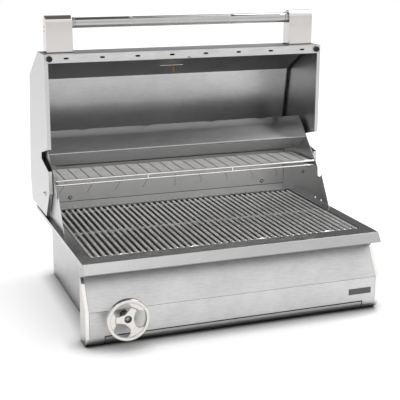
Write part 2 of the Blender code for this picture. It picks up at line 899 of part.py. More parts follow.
def hood_side(sign, name):
    """Side panel with a spit notch, whose free edges are folded inwards."""
    chamfer_low, chamfer_high = hood_chamfer
    notch_top = (hood_front, spit_notch[-1][1])
    outline = [
        (hood_front, hood_top), (hood_top_rear, hood_top), hood_slope_end, hood_back_end, hood_foot,
        chamfer_low, chamfer_high, *spit_notch[:-1], notch_top,
    ]
    piece = part(name, plate(*span(sign, side_inner, half_width), outline), brushed, hood_pivot)
    low, high = span(sign, half_width - hood_return, side_inner + sheet / 2)
    upper = [(hood_front + gap, hood_top - hood_flange - gap), (hood_front + gap, notch_top[1])]
    lower = moved_left([spit_notch[0], chamfer_high, chamfer_low], gap)
    join(piece, folded(low, high, upper), folded(low, high, lower), thickness=sheet)
    x_low, x_high = span(sign, side_inner - overrun, half_width + overrun)
    cut(piece, rod((x_low, 0, 0), (x_high, 0, 0), hinge_shank_radius + shaft_fit, 12))


def bumper(sign, name):
    x = sign * (half_width - bumper_inset)
    z = hood_top - bumper_rise
    start = (x, hood_front - gap, z)
    end = (x, hood_front - gap - bumper_height, z)
    part(name, rod(start, end, bumper_radius, 20), rubber, hood_pivot, round_piece=True)


def handle():
    """A tube between two solid posts, with a dark collar at each end of the tube."""
    collar_out = handle_post_inner - gap
    tube_half = collar_out - collar_width - gap
    axis = (handle_setback, handle_z)
    radius = handle_diameter / 2
    whole = rod((-tube_half, *axis), (tube_half, *axis), radius, 24)
    tube = part("handle_tube", whole, brushed, hood_pivot, round_piece=True)
    bore = tube_half + overrun
    cut(tube, rod((-bore, *axis), (bore, *axis), radius - handle_wall, 24))

    def collar(sign, name):
        start, end = span(sign, collar_out - collar_width, collar_out)
        ring = rod((start, *axis), (end, *axis), collar_radius, 24)
        part(name, ring, dark_steel, hood_pivot, round_piece=True)

    def post(sign, name):
        low_z = hood_top + gap
        front, rear = handle_setback - handle_post_radius, handle_setback + handle_post_radius
        outline = [*arc(axis, handle_post_radius, 0, math.pi, 10), (front, low_z), (rear, low_z)]
        low, high = span(sign, handle_post_inner, handle_post_outer)
        bevel(part(name, plate(low, high, outline), brushed, hood_pivot), sheet, 1)

    side_pair("handle_collar", collar)
    side_pair("handle_post", post)


def hinge(sign, name):
    """Bolt through the hood's side and the wing, a spacer between them and a dome nut inside."""
    axis = (hinge_y, hinge_rise)
    outside = half_width + gap
    bore_radius = hinge_shank_radius + shaft_fit
    nut_outer = wing_inner - gap
    tip = nut_outer - hinge_nut_height * hinge_tip_share
    head = rod((sign * outside, *axis), (sign * (outside + hinge_head_height), *axis), hinge_head_radius, 16)
    shank = rod((sign * tip, *axis), (sign * (outside + gap), *axis), hinge_shank_radius, 12)
    join(part(name, head, polished), shank)

    low, high = sign * (wing_outer + gap), sign * (side_inner - gap)
    side = name.rsplit("_", 1)[1]
    spacer = part("hinge_spacer_" + side, rod((low, *axis), (high, *axis), hinge_spacer_radius, 16), zinc)
    through = sign * overrun
    cut(spacer, rod((low - through, *axis), (high + through, *axis), bore_radius, 12))

    nut_end = nut_outer - hinge_nut_height
    nut = part("hinge_nut_" + side, rod(
        (sign * nut_outer, *axis), (sign * nut_end, *axis), hinge_nut_radius, 6), polished)
    cut(nut, rod((sign * (tip - gap), *axis), (sign * (nut_outer + overrun), *axis), bore_radius, 12))


def thermometer():
    """Dial case on the hood's sloping panel, its probe through both walls and a wire guard inside."""
    middle, outward, run = slope_frame()
    start = middle + outward * gap
    case = rod(start, start + outward * dial_depth, dial_radius, 36)
    part("thermometer_case", case, polished, hood_pivot, round_piece=True)
    inner = middle - outward * (hood_wall_gap + sheet)
    boss_end = inner - outward * probe_boss_reach
    boss = rod(middle, boss_end, probe_boss_radius, 16)
    probe = part("thermometer_probe", boss, brass, hood_pivot, round_piece=True)
    join(probe, rod(boss_end + outward * gap, inner - outward * probe_reach, probe_radius, 10))
    foot = inner - outward * gap
    lift = foot - outward * guard_stand
    top = lift - run * guard_rise
    left, right = Vector((guard_left, 0, 0)), Vector((guard_right, 0, 0))
    points = [foot + left, lift + left, top + left, top + right, lift + right, foot + right]
    part("probe_guard", wire(points, guard_wire / 2), inside_steel, hood_pivot, round_piece=True)


def spoke_outline():
    """Three broad spokes from the hub into the rim, which flare where they meet it."""
    seat = wheel_radius - wheel_rim_width / 2
    points = []
    for spoke in range(wheel_spoke_count):
        middle = wheel_first_spoke + spoke * 2 * math.pi / wheel_spoke_count
        right = []
        for way, flare in wheel_spoke_shares:
            radius = wheel_hub_radius - sheet + (seat - wheel_hub_radius + sheet) * way
            half = wheel_spoke_half_width + (wheel_spoke_flare - wheel_spoke_half_width) * flare
            right.append((radius, -half / radius))
        side = right + [(seat, 0)] + [(radius, -angle) for radius, angle in reversed(right)]
        for radius, angle in side:
            points.append((radius * math.cos(middle + angle), radius * math.sin(middle + angle)))
    return points


def hand_wheel():
    """Rim, three flared spokes and a hub with a deep round recess for its screw."""
    rear = wheel_face_reach - wheel_rim_depth
    inner = wheel_radius - wheel_rim_width
    section = rounded(
        [(wheel_radius, wheel_face_reach), (wheel_radius, rear), (inner, rear), (inner, wheel_face_reach)],
        {index: wheel_rim_round for index in range(4)}, 2, closed=True,
    )
    wheel = turned(part("hand_wheel", profile_mesh(section), polished, wheel_pivot), 34)
    front = wheel_face_reach - wheel_spoke_recess
    hub_front = front + wheel_spoke_recess / 2
    socket_floor = hub_front - wheel_socket_depth
    shaft_end = socket_floor - wheel_socket_depth / 2
    join(
        wheel,
        level_plate(front - wheel_spoke_depth, front, spoke_outline()),
        rod((0, 0, wheel_hub_rear), (0, 0, hub_front), wheel_hub_radius, 28),
    )
    cut(
        wheel,
        rod((0, 0, socket_floor), (0, 0, hub_front + overrun), wheel_socket_radius, 24),
        rod((0, 0, wheel_hub_rear - overrun), (0, 0, shaft_end), shaft_radius + gap, 16),
        rod((0, 0, shaft_end - gap), (0, 0, socket_floor + gap), wheel_screw_radius + gap, 12),
    )
    head_top = socket_floor + wheel_socket_depth / 2
    head = rod((0, 0, socket_floor + gap), (0, 0, head_top), wheel_screw_head_radius, 18)
    screw = part("wheel_screw", head, dark_steel, wheel_pivot, round_piece=True)
    join(screw, rod((0, 0, shaft_end + gap), (0, 0, socket_floor + gap * 2), wheel_screw_radius, 10))
    key_floor = (socket_floor + head_top) / 2
    cut(screw, rod((0, 0, key_floor), (0, 0, hub_front), wheel_screw_key_radius, 6))


def worm_drive():
    """The wheel's shaft with its worm, the bushing in the console and the bearing behind it."""
    hub_front = wheel_face_reach - wheel_spoke_recess / 2
    shaft_end = hub_front - wheel_socket_depth * 3 / 2
    worm_low, worm_high = -worm_reach - worm_length / 2, -worm_reach + worm_length / 2
    shaft = part("wheel_shaft", rod(
        (0, 0, shaft_end - gap), (0, 0, worm_low - shaft_radius), shaft_radius, 16), zinc, wheel_pivot)
    join(shaft, rod((0, 0, worm_low), (0, 0, worm_high), worm_radius - gap / 2, 20))

    bushing = part("wheel_bushing", rod(
        (0, 0, gap), (0, 0, gap + bushing_flange), bushing_flange_radius, 18), bronze, bushing_frame)
    join(bushing, rod((0, 0, gap * 2), (0, 0, -bushing_sleeve), bushing_sleeve_radius, 16))
    cut(bushing, rod((0, 0, -overrun), (0, 0, overrun), shaft_radius + shaft_fit, 16))

    wall = body_front + sheet + gap
    x, y, z = wheel_place
    centre_z = z + (wall + bearing_depth / 2 - y) * panel_slope
    bearing = part("worm_bearing", box(
        (x - bearing_half, wall, centre_z - bearing_half),
        (x + bearing_half, wall + bearing_depth, centre_z + bearing_half)), dark_steel)
    cut(bearing, shaft_bore(shaft_radius + shaft_fit))


def lift():
    """The cross shaft with its worm gear, the two arms under the tray and a bracket at each end."""
    axis = tuple(lift_place.yz)
    shaft_y, shaft_z = axis
    shaft_half = half_body - lift_shaft_inset
    bore = shaft_radius + shaft_fit
    shaft = rod((-shaft_half, *axis), (shaft_half, *axis), shaft_radius, 14)
    part("lift_shaft", shaft, zinc, lift_pivot, round_piece=True)
    x = wheel_place.x
    low, high = x - gear_width / 2, x + gear_width / 2
    wheel_rim = rod((low, *axis), (high, *axis), gear_radius - gap / 2, gear_teeth)
    gear = part("worm_gear", wheel_rim, bronze, lift_pivot)
    cut(gear, rod((low - overrun, *axis), (high + overrun, *axis), bore, 14))

    def arm(sign, name):
        """A flat crooked lever from the cross shaft, under the liner, to a round tip below the tray."""
        half = arm_width / 2
        knee = shaft_y + arm_knee_reach
        outline = [
            *arc(axis, arm_hub_radius, 0, math.pi, 8), (knee - half, arm_tip_z), (knee, arm_tip_z - half),
            *arc((tray_middle, arm_tip_z), arm_tip_radius, -math.pi / 2, math.pi * 3 / 4, 10),
            (tray_middle - arm_tip_radius - half, arm_tip_z + half), (knee + half, arm_tip_z + half),
        ]
        low, high = span(sign, arm_x - arm_thickness / 2, arm_x + arm_thickness / 2)
        piece = part(name, plate(low, high, outline), zinc, lift_pivot)
        low, high = span(sign, arm_x - overrun, arm_x + overrun)
        cut(piece, rod((low, *axis), (high, *axis), bore, 14))

    def bracket(sign, name):
        wall = body_front + sheet + gap
        middle = half_body - bracket_inset
        rise = bracket_foot_height / 2
        nose = arc(axis, arm_hub_radius, -math.pi / 2, math.pi / 2, 6)
        outline = [(wall, shaft_z - rise), *nose, (wall, shaft_z + rise)]
        low, high = span(sign, middle - bracket_width / 2, middle + bracket_width / 2)
        piece = part(name, plate(low, high, outline), zinc)
        low, high = span(sign, middle - bracket_foot_width / 2, middle + bracket_foot_width / 2)
        join(piece, box((low, wall, shaft_z - rise - gap), (high, wall + bracket_plate, shaft_z + rise + gap)))
        low, high = span(sign, middle - overrun, middle + overrun)
        cut(piece, rod((low, *axis), (high, *axis), bore, 14))

    side_pair("lift_arm", arm)
    side_pair("shaft_bracket", bracket)


def charcoal_tray():
    """Open tray with a slotted bottom and a lug on each side that runs in the liner's guide."""
    top = tray_bottom + tray_wall_height
    tray = part("charcoal_tray", box(
        (-half_tray, tray_front, tray_bottom), (half_tray, tray_rear, top)), heated, tray_pivot)
    half = half_tray - sheet
    cut(tray, box((-half, tray_front + sheet, tray_bottom + sheet), (half, tray_rear - sheet, top + overrun)))
    slot_outer = arm_x - arm_thickness / 2 - tray_slot_margin
    slots = []
    for y in spread(tray_slot_rows + 2, tray_front, tray_rear)[1:-1]:
        for sign in (-1, 1):
            low, high = span(sign, tray_slot_inner, slot_outer)
            slots.append(box(
                (low, y - tray_slot_depth / 2, tray_bottom - overrun),
                (high, y + tray_slot_depth / 2, tray_bottom + overrun)))
    cut(tray, gathered(slots))
    lug_end = guide_outer - guide_wall - lug_clearance
    lug_z = tray_bottom + tray_wall_height / 2
    for sign in (-1, 1):
        low, high = span(sign, half_tray - sheet / 2, lug_end)
        join(tray, box(
            (low, tray_middle - lug_width / 2, lug_z - lug_height / 2),
            (high, tray_middle + lug_width / 2, lug_z + lug_height / 2)))

    rail_low = tray_bottom + sheet + gap
    bar_z = rail_low + coal_rail_height
    reach = half - gap * 2
    low, high = tray_front + sheet + coal_bar_diameter, tray_rear - sheet - coal_bar_diameter
    bars = [
        wire([(-reach, y, bar_z), (reach, y, bar_z)], coal_bar_diameter / 2, 0)
        for y in spread(coal_bar_count, low, high)
    ]
    grate = part("charcoal_grate", gathered(bars), heated, tray_pivot)
    rail_x = reach - coal_rail_inset
    rail_half = coal_rail_width / 2
    rails = [
        box((x - rail_half, low, rail_low), (x + rail_half, high, bar_z))
        for x in spread(3, -rail_x, rail_x)
    ]
    join(grate, gathered(rails))

    def guide(sign, name):
        half_guide = guide_width / 2
        guide_foot = floor + guide_foot_rise
        low, high = span(sign, guide_inner, guide_outer)
        piece = part(name, box(
            (low, tray_middle - half_guide, guide_foot),
            (high, tray_middle + half_guide, -guide_top_drop)), heated)
        low, high = span(sign, guide_inner - overrun, guide_outer - guide_wall)
        channel = half_guide - guide_wall
        cut(piece, box(
            (low, tray_middle - channel, guide_foot - overrun),
            (high, tray_middle + channel, overrun - guide_top_drop)))

    side_pair("tray_guide", guide)


def ash_drawer():
    top = drawer_top - pan_top_gap
    pan = part("ash_pan", box(
        (-half_pan, pan_front, pan_bottom), (half_pan, pan_rear, top)), inside_steel, drawer_pivot)
    half = half_pan - pan_wall
    cut(pan, box(
        (-half, pan_front + pan_wall, pan_bottom + pan_wall), (half, pan_rear - pan_wall, top + overrun)))
    front_half = half_mouth - drawer_side_gap
    whole = console_line(pan_front - gap, drawer_lift)
    front_y = (floor + console_bend_rise - drawer_top) * panel_slope - console_bend_reach
    below = [point for point in whole if point[1] < drawer_top]
    line = [(pan_front - gap, drawer_top), (front_y, drawer_top), *below]
    thicken(part("drawer_front", folded(-front_half, front_half, line), brushed, drawer_pivot))

    def runner(sign, name):
        side = half_pan + runner_gap
        front = body_front + sheet + gap
        low, high = span(sign, side, half_body - sheet - gap)
        piece = part(name, box((low, front, pan_bottom), (high, pan_rear, pan_bottom + sheet)), zinc)
        low, high = span(sign, side, side + sheet)
        join(piece, box((low, front, pan_bottom + sheet / 2), (high, pan_rear, pan_bottom + runner_height)))

    side_pair("drawer_runner", runner)


body_shell()
firebox_liner()
top_trim()
console()
cooking_grates()
side_pair("wing", wing)
back_wall()
heat_shield()
side_pair("rack_rest", rack_rest)
warming_rack()
hood()
side_pair("bumper", bumper)
handle()
side_pair("hinge_bolt", hinge)
thermometer()
hand_wheel()
worm_drive()
lift()
charcoal_tray()
ash_drawer()
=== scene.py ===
import json
import math

import bmesh
import bpy
from mathutils import Matrix, Vector


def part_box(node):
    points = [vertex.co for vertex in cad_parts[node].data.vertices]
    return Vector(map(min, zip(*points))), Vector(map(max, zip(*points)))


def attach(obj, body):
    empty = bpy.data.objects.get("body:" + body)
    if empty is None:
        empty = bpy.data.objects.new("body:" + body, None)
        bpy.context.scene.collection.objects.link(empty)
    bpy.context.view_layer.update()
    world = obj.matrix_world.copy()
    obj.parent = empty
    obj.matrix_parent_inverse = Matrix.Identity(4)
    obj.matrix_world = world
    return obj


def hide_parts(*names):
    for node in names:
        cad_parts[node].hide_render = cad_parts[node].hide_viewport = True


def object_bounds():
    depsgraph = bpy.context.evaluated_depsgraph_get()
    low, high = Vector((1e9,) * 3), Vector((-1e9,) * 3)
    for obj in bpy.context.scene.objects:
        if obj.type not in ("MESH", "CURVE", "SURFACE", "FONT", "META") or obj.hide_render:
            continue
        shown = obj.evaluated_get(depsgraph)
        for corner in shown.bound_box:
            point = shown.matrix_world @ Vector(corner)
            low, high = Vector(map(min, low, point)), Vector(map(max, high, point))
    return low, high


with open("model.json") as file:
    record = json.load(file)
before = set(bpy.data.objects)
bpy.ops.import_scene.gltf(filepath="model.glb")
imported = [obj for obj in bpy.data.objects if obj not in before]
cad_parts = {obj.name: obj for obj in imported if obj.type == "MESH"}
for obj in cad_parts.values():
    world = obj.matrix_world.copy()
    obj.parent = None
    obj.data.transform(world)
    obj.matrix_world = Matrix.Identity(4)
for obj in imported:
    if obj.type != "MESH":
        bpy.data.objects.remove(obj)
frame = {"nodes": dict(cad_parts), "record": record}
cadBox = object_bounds()
nodes = frame["nodes"]
mm = 0.001

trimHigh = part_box("top_trim")[1]
trimDepth = 0.652  # its flat part, without the sloped front
# Pieces are placed from the front edge of the trim's top, on the centre plane, as the solids are.
modelOrigin = Vector((0, trimHigh.y - trimDepth, trimHigh.z))
bothSides = (("left", -1), ("right", 1))
print("frame loaded:", len(nodes), "nodes")


# Colour and nodes

def linear(hexColour):
    channels = [int(hexColour[i:i + 2], 16) / 255 for i in (1, 3, 5)]
    return (*[c / 12.92 if c <= 0.04045 else ((c + 0.055) / 1.055) ** 2.4 for c in channels], 1)


# A node with its settings; a link gives an input's name (spaces as _) or i and its number.
def addNode(tree, kind, settings=None, **links):
    node = tree.nodes.new(kind)
    for key, value in (settings or {}).items():
        if isinstance(key, str) and hasattr(node, key):
            setattr(node, key, value)
        else:
            node.inputs[key].default_value = value
    for key, socket in links.items():
        wanted = int(key[1:]) if key[0] == "i" and key[1:].isdigit() else key.replace("_", " ")
        tree.links.new(socket, node.inputs[wanted])
    return node


def newMaterial(name):
    material = bpy.data.materials.new(name)
    material.use_nodes = True
    tree = material.node_tree
    tree.nodes.clear()
    shader = addNode(tree, "ShaderNodeBsdfPrincipled")
    addNode(tree, "ShaderNodeOutputMaterial", Surface=shader.outputs[0])
    return material, tree, shader


# Belt brushing: scratches, and a faint cloud that is the uneven pull of the belt.
brushing = {
    "cloud": 60, "relief": 0.2,  # mm across a cloud, and depth of the scratches
    "cloudShare": 0.35, "cloudDetail": 2.0, "detail": 3.0, "breakUp": 0.6,
    "toneFrom": 0.34, "toneTo": 0.66, "roughFrom": 0.35, "roughTo": 0.65,
}


# Stainless: fine scratches run one way and blur the highlights across them. streak is the (length, width) of
# a scratch in mm, drawn coarser than real so that it shows, and vary is how far the roughness strays.
def steel(name, colour, shade, roughness, vary, streak, bump=0.04, edge=0.6, along="x", metal=1.0):
    b = brushing
    material, tree, shader = newMaterial(name)
    length, width = streak[0] * mm, streak[1] * mm
    scales = {
        "x": (1 / length, 1 / width, 1 / width),
        "y": (1 / width, 1 / length, 1 / width),
        "z": (1 / width, 1 / width, 1 / length),
        "none": (1 / width, 1 / width, 1 / width),
    }
    where = addNode(tree, "ShaderNodeTexCoord")
    stretched = addNode(tree, "ShaderNodeMapping", {"Scale": scales[along]}, Vector=where.outputs["Object"])
    scratches = addNode(
        tree, "ShaderNodeTexNoise", {"Scale": 1.0, "Detail": b["detail"], "Roughness": b["breakUp"]},
        Vector=stretched.outputs[0])
    cloud = addNode(
        tree, "ShaderNodeTexNoise", {"Scale": 1 / (b["cloud"] * mm), "Detail": b["cloudDetail"]},
        Vector=where.outputs["Object"])
    faint = addNode(
        tree, "ShaderNodeMath", {"operation": "MULTIPLY", 1: b["cloudShare"]}, i0=cloud.outputs[0])
    mixed = addNode(
        tree, "ShaderNodeMath", {"operation": "MULTIPLY_ADD", 1: 1 - b["cloudShare"]},
        i0=scratches.outputs[0], i2=faint.outputs[0])
    tint = addNode(tree, "ShaderNodeValToRGB", Fac=mixed.outputs[0])
    tint.color_ramp.elements[0].position = b["toneFrom"]
    tint.color_ramp.elements[1].position = b["toneTo"]
    tint.color_ramp.elements[0].color = linear(shade)
    tint.color_ramp.elements[1].color = linear(colour)
    rough = addNode(
        tree, "ShaderNodeMapRange", {
            "From Min": b["roughFrom"], "From Max": b["roughTo"],
            "To Min": roughness - vary, "To Max": roughness + vary},
        Value=mixed.outputs[0])
    tree.links.new(tint.outputs[0], shader.inputs["Base Color"])
    tree.links.new(rough.outputs[0], shader.inputs["Roughness"])
    shader.inputs["Metallic"].default_value = metal
    rounded = addNode(tree, "ShaderNodeBevel", {"samples": 4, "Radius": edge * mm})
    relief = addNode(
        tree, "ShaderNodeBump", {"Strength": bump, "Distance": b["relief"] * mm},
        Height=scratches.outputs[0], Normal=rounded.outputs[0])
    tree.links.new(relief.outputs[0], shader.inputs["Normal"])
    return material


grained = {"detail": 2.0, "toneFrom": 0.3, "toneTo": 0.7, "relief": 0.1}  # relief in mm


# Moulded, painted or machined stock with a fine grain of the size given in mm.
def plain(name, colour, roughness, metallic=0.0, grain=0.8, bump=0.1, shade=None, edge=0.4):
    material, tree, shader = newMaterial(name)
    where = addNode(tree, "ShaderNodeTexCoord")
    grains = addNode(
        tree, "ShaderNodeTexNoise", {"Scale": 1 / (grain * mm), "Detail": grained["detail"]},
        Vector=where.outputs["Object"])
    tint = addNode(tree, "ShaderNodeValToRGB", Fac=grains.outputs[0])
    tint.color_ramp.elements[0].position = grained["toneFrom"]
    tint.color_ramp.elements[1].position = grained["toneTo"]
    tint.color_ramp.elements[0].color = linear(shade or colour)
    tint.color_ramp.elements[1].color = linear(colour)
    tree.links.new(tint.outputs[0], shader.inputs["Base Color"])
    shader.inputs["Roughness"].default_value = roughness
    shader.inputs["Metallic"].default_value = metallic
    rounded = addNode(tree, "ShaderNodeBevel", {"samples": 4, "Radius": edge * mm})
    relief = addNode(
        tree, "ShaderNodeBump", {"Strength": bump, "Distance": grained["relief"] * mm},
        Height=grains.outputs[0], Normal=rounded.outputs[0])
    tree.links.new(relief.outputs[0], shader.inputs["Normal"])
    return material


# Front sheets, belt-brushed across: pale, with soft sideways streaks.
brushedAcross = steel(
    "stainless_belt_brushed_across", "#D1D1D1", "#BEBEBE", 0.42, 0.02, (26, 2.6), bump=0.02, edge=1.2)
# Side sheets, brushed front to back: smoother, with the streaks running away from the eye.
brushedDeep = steel(
    "stainless_belt_brushed_side", "#C6C6C6", "#BFBFBF", 0.32, 0.015, (24, 1.2), bump=0.01, along="y")
# Trim, finely brushed: it mirrors what stands over it, a little blurred.
trimSteel = steel(
    "stainless_trim_fine_brushed", "#B1B1B1", "#A9A9A9", 0.16, 0.01, (30, 1.0), bump=0.008, edge=1.8)
# Handle posts, brushed fine over a polish: pale, with clear edges to their reflections.
brushedPost = steel("stainless_post_fine_brushed", "#D0CDCB", "#CBC8C6", 0.11, 0.01, (24, 1.0), bump=0.004)
# Handle tube, cold drawn: long bright and dark bands.
brushedTube = steel("stainless_drawn_tube", "#B6B5B4", "#AEADAC", 0.09, 0.01, (60, 1.2), bump=0.01)
# Knurled grip: rolled diamonds break the bands up into grey.
knurlSteel = steel(
    "stainless_knurled", "#BDBCBB", "#ABAAA9", 0.30, 0.03, (1.2, 1.2), bump=0.2, edge=0.1, along="none")
# Sheet inside the hood: the same stock as the front, a little duller from handling.
linerSteel = steel("stainless_liner_brushed", "#CECECE", "#BDBDBD", 0.37, 0.02, (20, 2.4), bump=0.02)
# Heat shield, finely brushed: its upper faces mirror the hood; its lower face gets a rougher, part-metal copy
# whose paler colour paints light onto it as an even grey.
shieldSteel = steel("stainless_shield_brushed", "#B2B2B2", "#A9A9A9", 0.19, 0.015, (24, 1.0), bump=0.01)
shieldPaintedLighter = steel(
    "stainless_shield_painted_lighter", "#F6F6F6", "#ECECEC", 0.30, 0.02, (24, 1.0), bump=0.02, metal=0.7)
# Back wall, brushed: an even pale grey with few streaks.
wallSteel = steel("stainless_wall_brushed", "#D2D2D2", "#C8C8C8", 0.32, 0.02, (24, 1.0), bump=0.015)
# Steel that sees the fire: dull, with a straw tint in patches.
firedSteel = steel("stainless_heat_tinted", "#B5B1AC", "#8A8681", 0.45, 0.05, (9, 5), along="none")
# Ground cooking rods: bright crowns with speckled scorching.
grateSteel = steel(
    "stainless_rod_ground", "#FFFFFE", "#D6D5D4", 0.25, 0.06, (3, 2.4), bump=0.35, along="y", edge=0.3,
    metal=0.80)
# Rack wires: bright drawn ones; a darker copy for the cross wires and end channels, which paints the shade
# they sit in; and a near-white polished copy for the front wires and the grates' finger links, partly polish
# and partly a painted highlight.
rackSteel = steel("stainless_wire_bright_drawn", "#C2C1C0", "#AFAEAD", 0.20, 0.03, (20, 2), edge=0.2)
rackPaintedShade = steel("stainless_wire_painted_shade", "#A3A2A1", "#8C8B8A", 0.40, 0.03, (8, 3), edge=0.2)
linkPaintedHighlight = steel("stainless_wire_polished_painted_highlight", "#FBF9F6", "#F0EEEB", 0.18, 0.02, (12, 2), edge=0.2)
# End caps, polished upright: near white, with soft edges to what they reflect.
capSteel = steel(
    "stainless_cap_bright", "#EAE7E4", "#E5E2DF", 0.12, 0.01, (24, 1.2), bump=0.006, edge=1.0, along="z")
# Bolts, bezel and other bright fittings, polished to a mirror.
mirrorSteel = steel(
    "stainless_mirror_polished", "#DDDBD9", "#D6D4D2", 0.06, 0.02, (30, 3), bump=0.01, edge=0.8)
# Wheel casting: a mirror where chromed; grainy where left as cast, and darkened there as painted shade of the
# recess and the neck behind the spokes.
castAsCastPaintedShade = steel("cast_steel_as_cast_painted_shade", "#7E7C7A", "#6A6866", 0.36, 0.04, (3, 3), bump=0.2, along="none")
castPolish = steel("cast_steel_chromed", "#DAD7D4", "#D2CFCC", 0.05, 0.01, (12, 6), bump=0.01, along="none")
# Fixings: matt where zinc-plated, near black where blackened in oil; the blackened steel also draws the
# painted dark lines on the sheets.
zincSteel = plain("steel_zinc_plated", "#B9B9B4", 0.42, 1.0, 2.0, 0.1, "#A3A39D")
darkSteelAndPaintedLines = plain("steel_blackened_and_painted_lines", "#2E2E2E", 0.45, 0.6, 1.0, 0.1, "#1E1E1E")
# Etched nameplate: flat dark grey.
badgePlate = plain("badge_plate_etched_dark", "#60605F", 0.38, 0.8, 0.8, 0.06, "#525251")
# Flat black that paints the shade in the hood's slots and the drawer's mouth, and moulded rubber with a dim
# sheen.
paintedShadeBlack = plain("painted_shade_black", "#0B0B0B", 0.95, 0.0, 1.0, 0.3, "#060606")
rubberBlack = plain("rubber_moulded_black", "#2A2A2B", 0.66, 0.0, 0.6, 0.25, "#1C1C1D")
# Brass gone ochre from heat, and bronze that is silvery where plated and brown gold where turned.
brassDull = plain("brass_heat_dulled", "#B5A23C", 0.38, 1.0, 1.5, 0.1, "#93801F")
bronzePlated = plain("bronze_nickel_plated", "#B8B6B2", 0.22, 1.0, 1.5, 0.05, "#A8A6A2")
bronzeTurned = plain("bronze_turned", "#A67C52", 0.35, 1.0, 1.5, 0.1, "#8E6843")
# Dial: warm white enamel, matt black print and a lacquered needle.
dialEnamel = plain("dial_enamel_white", "#F1F0EC", 0.35, 0.0, 1.2, 0.03, "#E9E8E3")
dialInk = plain("dial_print_black", "#1A1A1A", 0.5, 0.0, 0.8, 0.05, "#121212")
needleRed = plain("needle_lacquer_red", "#B32018", 0.4, 0.0, 0.8, 0.05, "#9E1B14")
print("materials made")

slotLooks = {
    "brushed_stainless": brushedAcross,
    "matt_stainless": grateSteel,
    "polished_stainless": mirrorSteel,
    "heated_steel": firedSteel,
    "zinc_plated_steel": zincSteel,
    "dark_steel": darkSteelAndPaintedLines,
    "black_rubber": rubberBlack,
    "brass": brassDull,
    "bearing_bronze": bronzeTurned,
}
nodeLooks = {
    "hood_side_left": brushedDeep, "hood_side_right": brushedDeep,
    "wing_left": brushedDeep, "wing_right": brushedDeep,
    "hood_liner": linerSteel, "back_wall": wallSteel, "heat_shield": shieldSteel,
    "top_trim": trimSteel, "console_end_left": capSteel, "console_end_right": capSteel,
    "ash_pan": linerSteel, "wheel_bushing": bronzePlated,
}
slotOf = {entry["node"]: entry["material_slot"] for entry in frame["record"]["subparts"]}
for name, item in nodes.items():
    item.data.materials.clear()
    item.data.materials.append(nodeLooks.get(name, slotLooks[slotOf[name]]))
print("solids dressed")


# Meshes, written from the trim's front top edge

bevelling = {"segments": 3, "angle": 40}  # degrees between faces from which an edge is rounded


def newPiece(name, shape, material, body, replaced=(), smoothAngle=35, edge=0):
    mesh = bpy.data.meshes.new(name)
    bmesh.ops.recalc_face_normals(shape, faces=shape.faces)
    shape.to_mesh(mesh)
    shape.free()
    mesh.transform(Matrix.Translation(modelOrigin))
    mesh.shade_smooth()
    mesh.set_sharp_from_angle(angle=math.radians(smoothAngle))
    mesh.materials.append(material)
    piece = bpy.data.objects.new(name, mesh)
    bpy.context.scene.collection.objects.link(piece)
    if edge:
        bevel = piece.modifiers.new("edges", "BEVEL")
        bevel.width = edge
        bevel.segments = bevelling["segments"]
        bevel.limit_method = "ANGLE"
        bevel.angle_limit = math.radians(bevelling["angle"])
    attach(piece, body)
    if replaced:
        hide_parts(*replaced)
    return piece


def spread(count, first, last):
    return [first + (last - first) * index / (count - 1) for index in range(count)]


# The angle in radians that counts as straight, and the most that a bend takes of a leg.
bending = {"straight": 0.02, "legShare": 0.49}


# Rounds the inner corners of a line of points in space.
def bent(points, radius, steps=6):
    points = [Vector(point) for point in points]
    line = [points[0]]
    for before, here, after in zip(points, points[1:], points[2:]):
        toBefore, toAfter = (before - here).normalized(), (after - here).normalized()
        half = toBefore.angle(toAfter) / 2
        if math.pi / 2 - half < bending["straight"]:
            line.append(here)
            continue
        legs = [(leg - here).length * bending["legShare"] for leg in (before, after)]
        reach = min(radius / math.tan(half), *legs)
        start, end = here + toBefore * reach, here + toAfter * reach
        for step in range(steps + 1):
            share = step / steps
            line.append(start.lerp(here, share).lerp(here.lerp(end, share), share))
    return line + [points[-1]]


# A round wire along the line, closed at its ends.
def addWire(shape, line, radius, sides=12):
    line = [Vector(point) for point in line]
    ahead = (line[1] - line[0]).normalized()
    side = ahead.orthogonal().normalized()
    rings = []
    for index, point in enumerate(line):
        before = line[max(index - 1, 0)]
        after = line[min(index + 1, len(line) - 1)]
        course = (after - before).normalized()
        side = (ahead.rotation_difference(course) @ side).normalized()
        ahead = course
        other = ahead.cross(side)
        rings.append([
            shape.verts.new(point + (side * math.cos(turn) + other * math.sin(turn)) * radius)
            for turn in [2 * math.pi * k / sides for k in range(sides)]])
    for first, second in zip(rings, rings[1:]):
        for k in range(sides):
            shape.faces.new((first[k], first[(k + 1) % sides], second[(k + 1) % sides], second[k]))
    shape.faces.new(rings[0][::-1])
    shape.faces.new(rings[-1])


# Turns a line of (radius, height) points about an axis; at radius 0 it closes to a point.
def addTurned(shape, line, frameOfPiece, steps=48, closed=False):
    rings = []
    for radius, height in line:
        if radius == 0:
            rings.append([shape.verts.new(frameOfPiece @ Vector((0, 0, height)))])
            continue
        rings.append([
            shape.verts.new(frameOfPiece @ Vector((radius * math.cos(turn), radius * math.sin(turn), height)))
            for turn in [2 * math.pi * k / steps for k in range(steps)]])
    pairs = list(zip(rings, rings[1:])) + ([(rings[-1], rings[0])] if closed else [])
    for first, second in pairs:
        for k in range(steps):
            corners = [
                first[k % len(first)], first[(k + 1) % len(first)],
                second[(k + 1) % len(second)], second[k % len(second)]]
            unique = list(dict.fromkeys(corners))
            if len(unique) > 2:
                shape.faces.new(unique)


def addBlock(shape, low, high):
    low, high = Vector(low), Vector(high)
    scale = Matrix.Diagonal((*(high - low), 1))
    bmesh.ops.create_cube(shape, size=1, matrix=Matrix.Translation((low + high) / 2) @ scale)


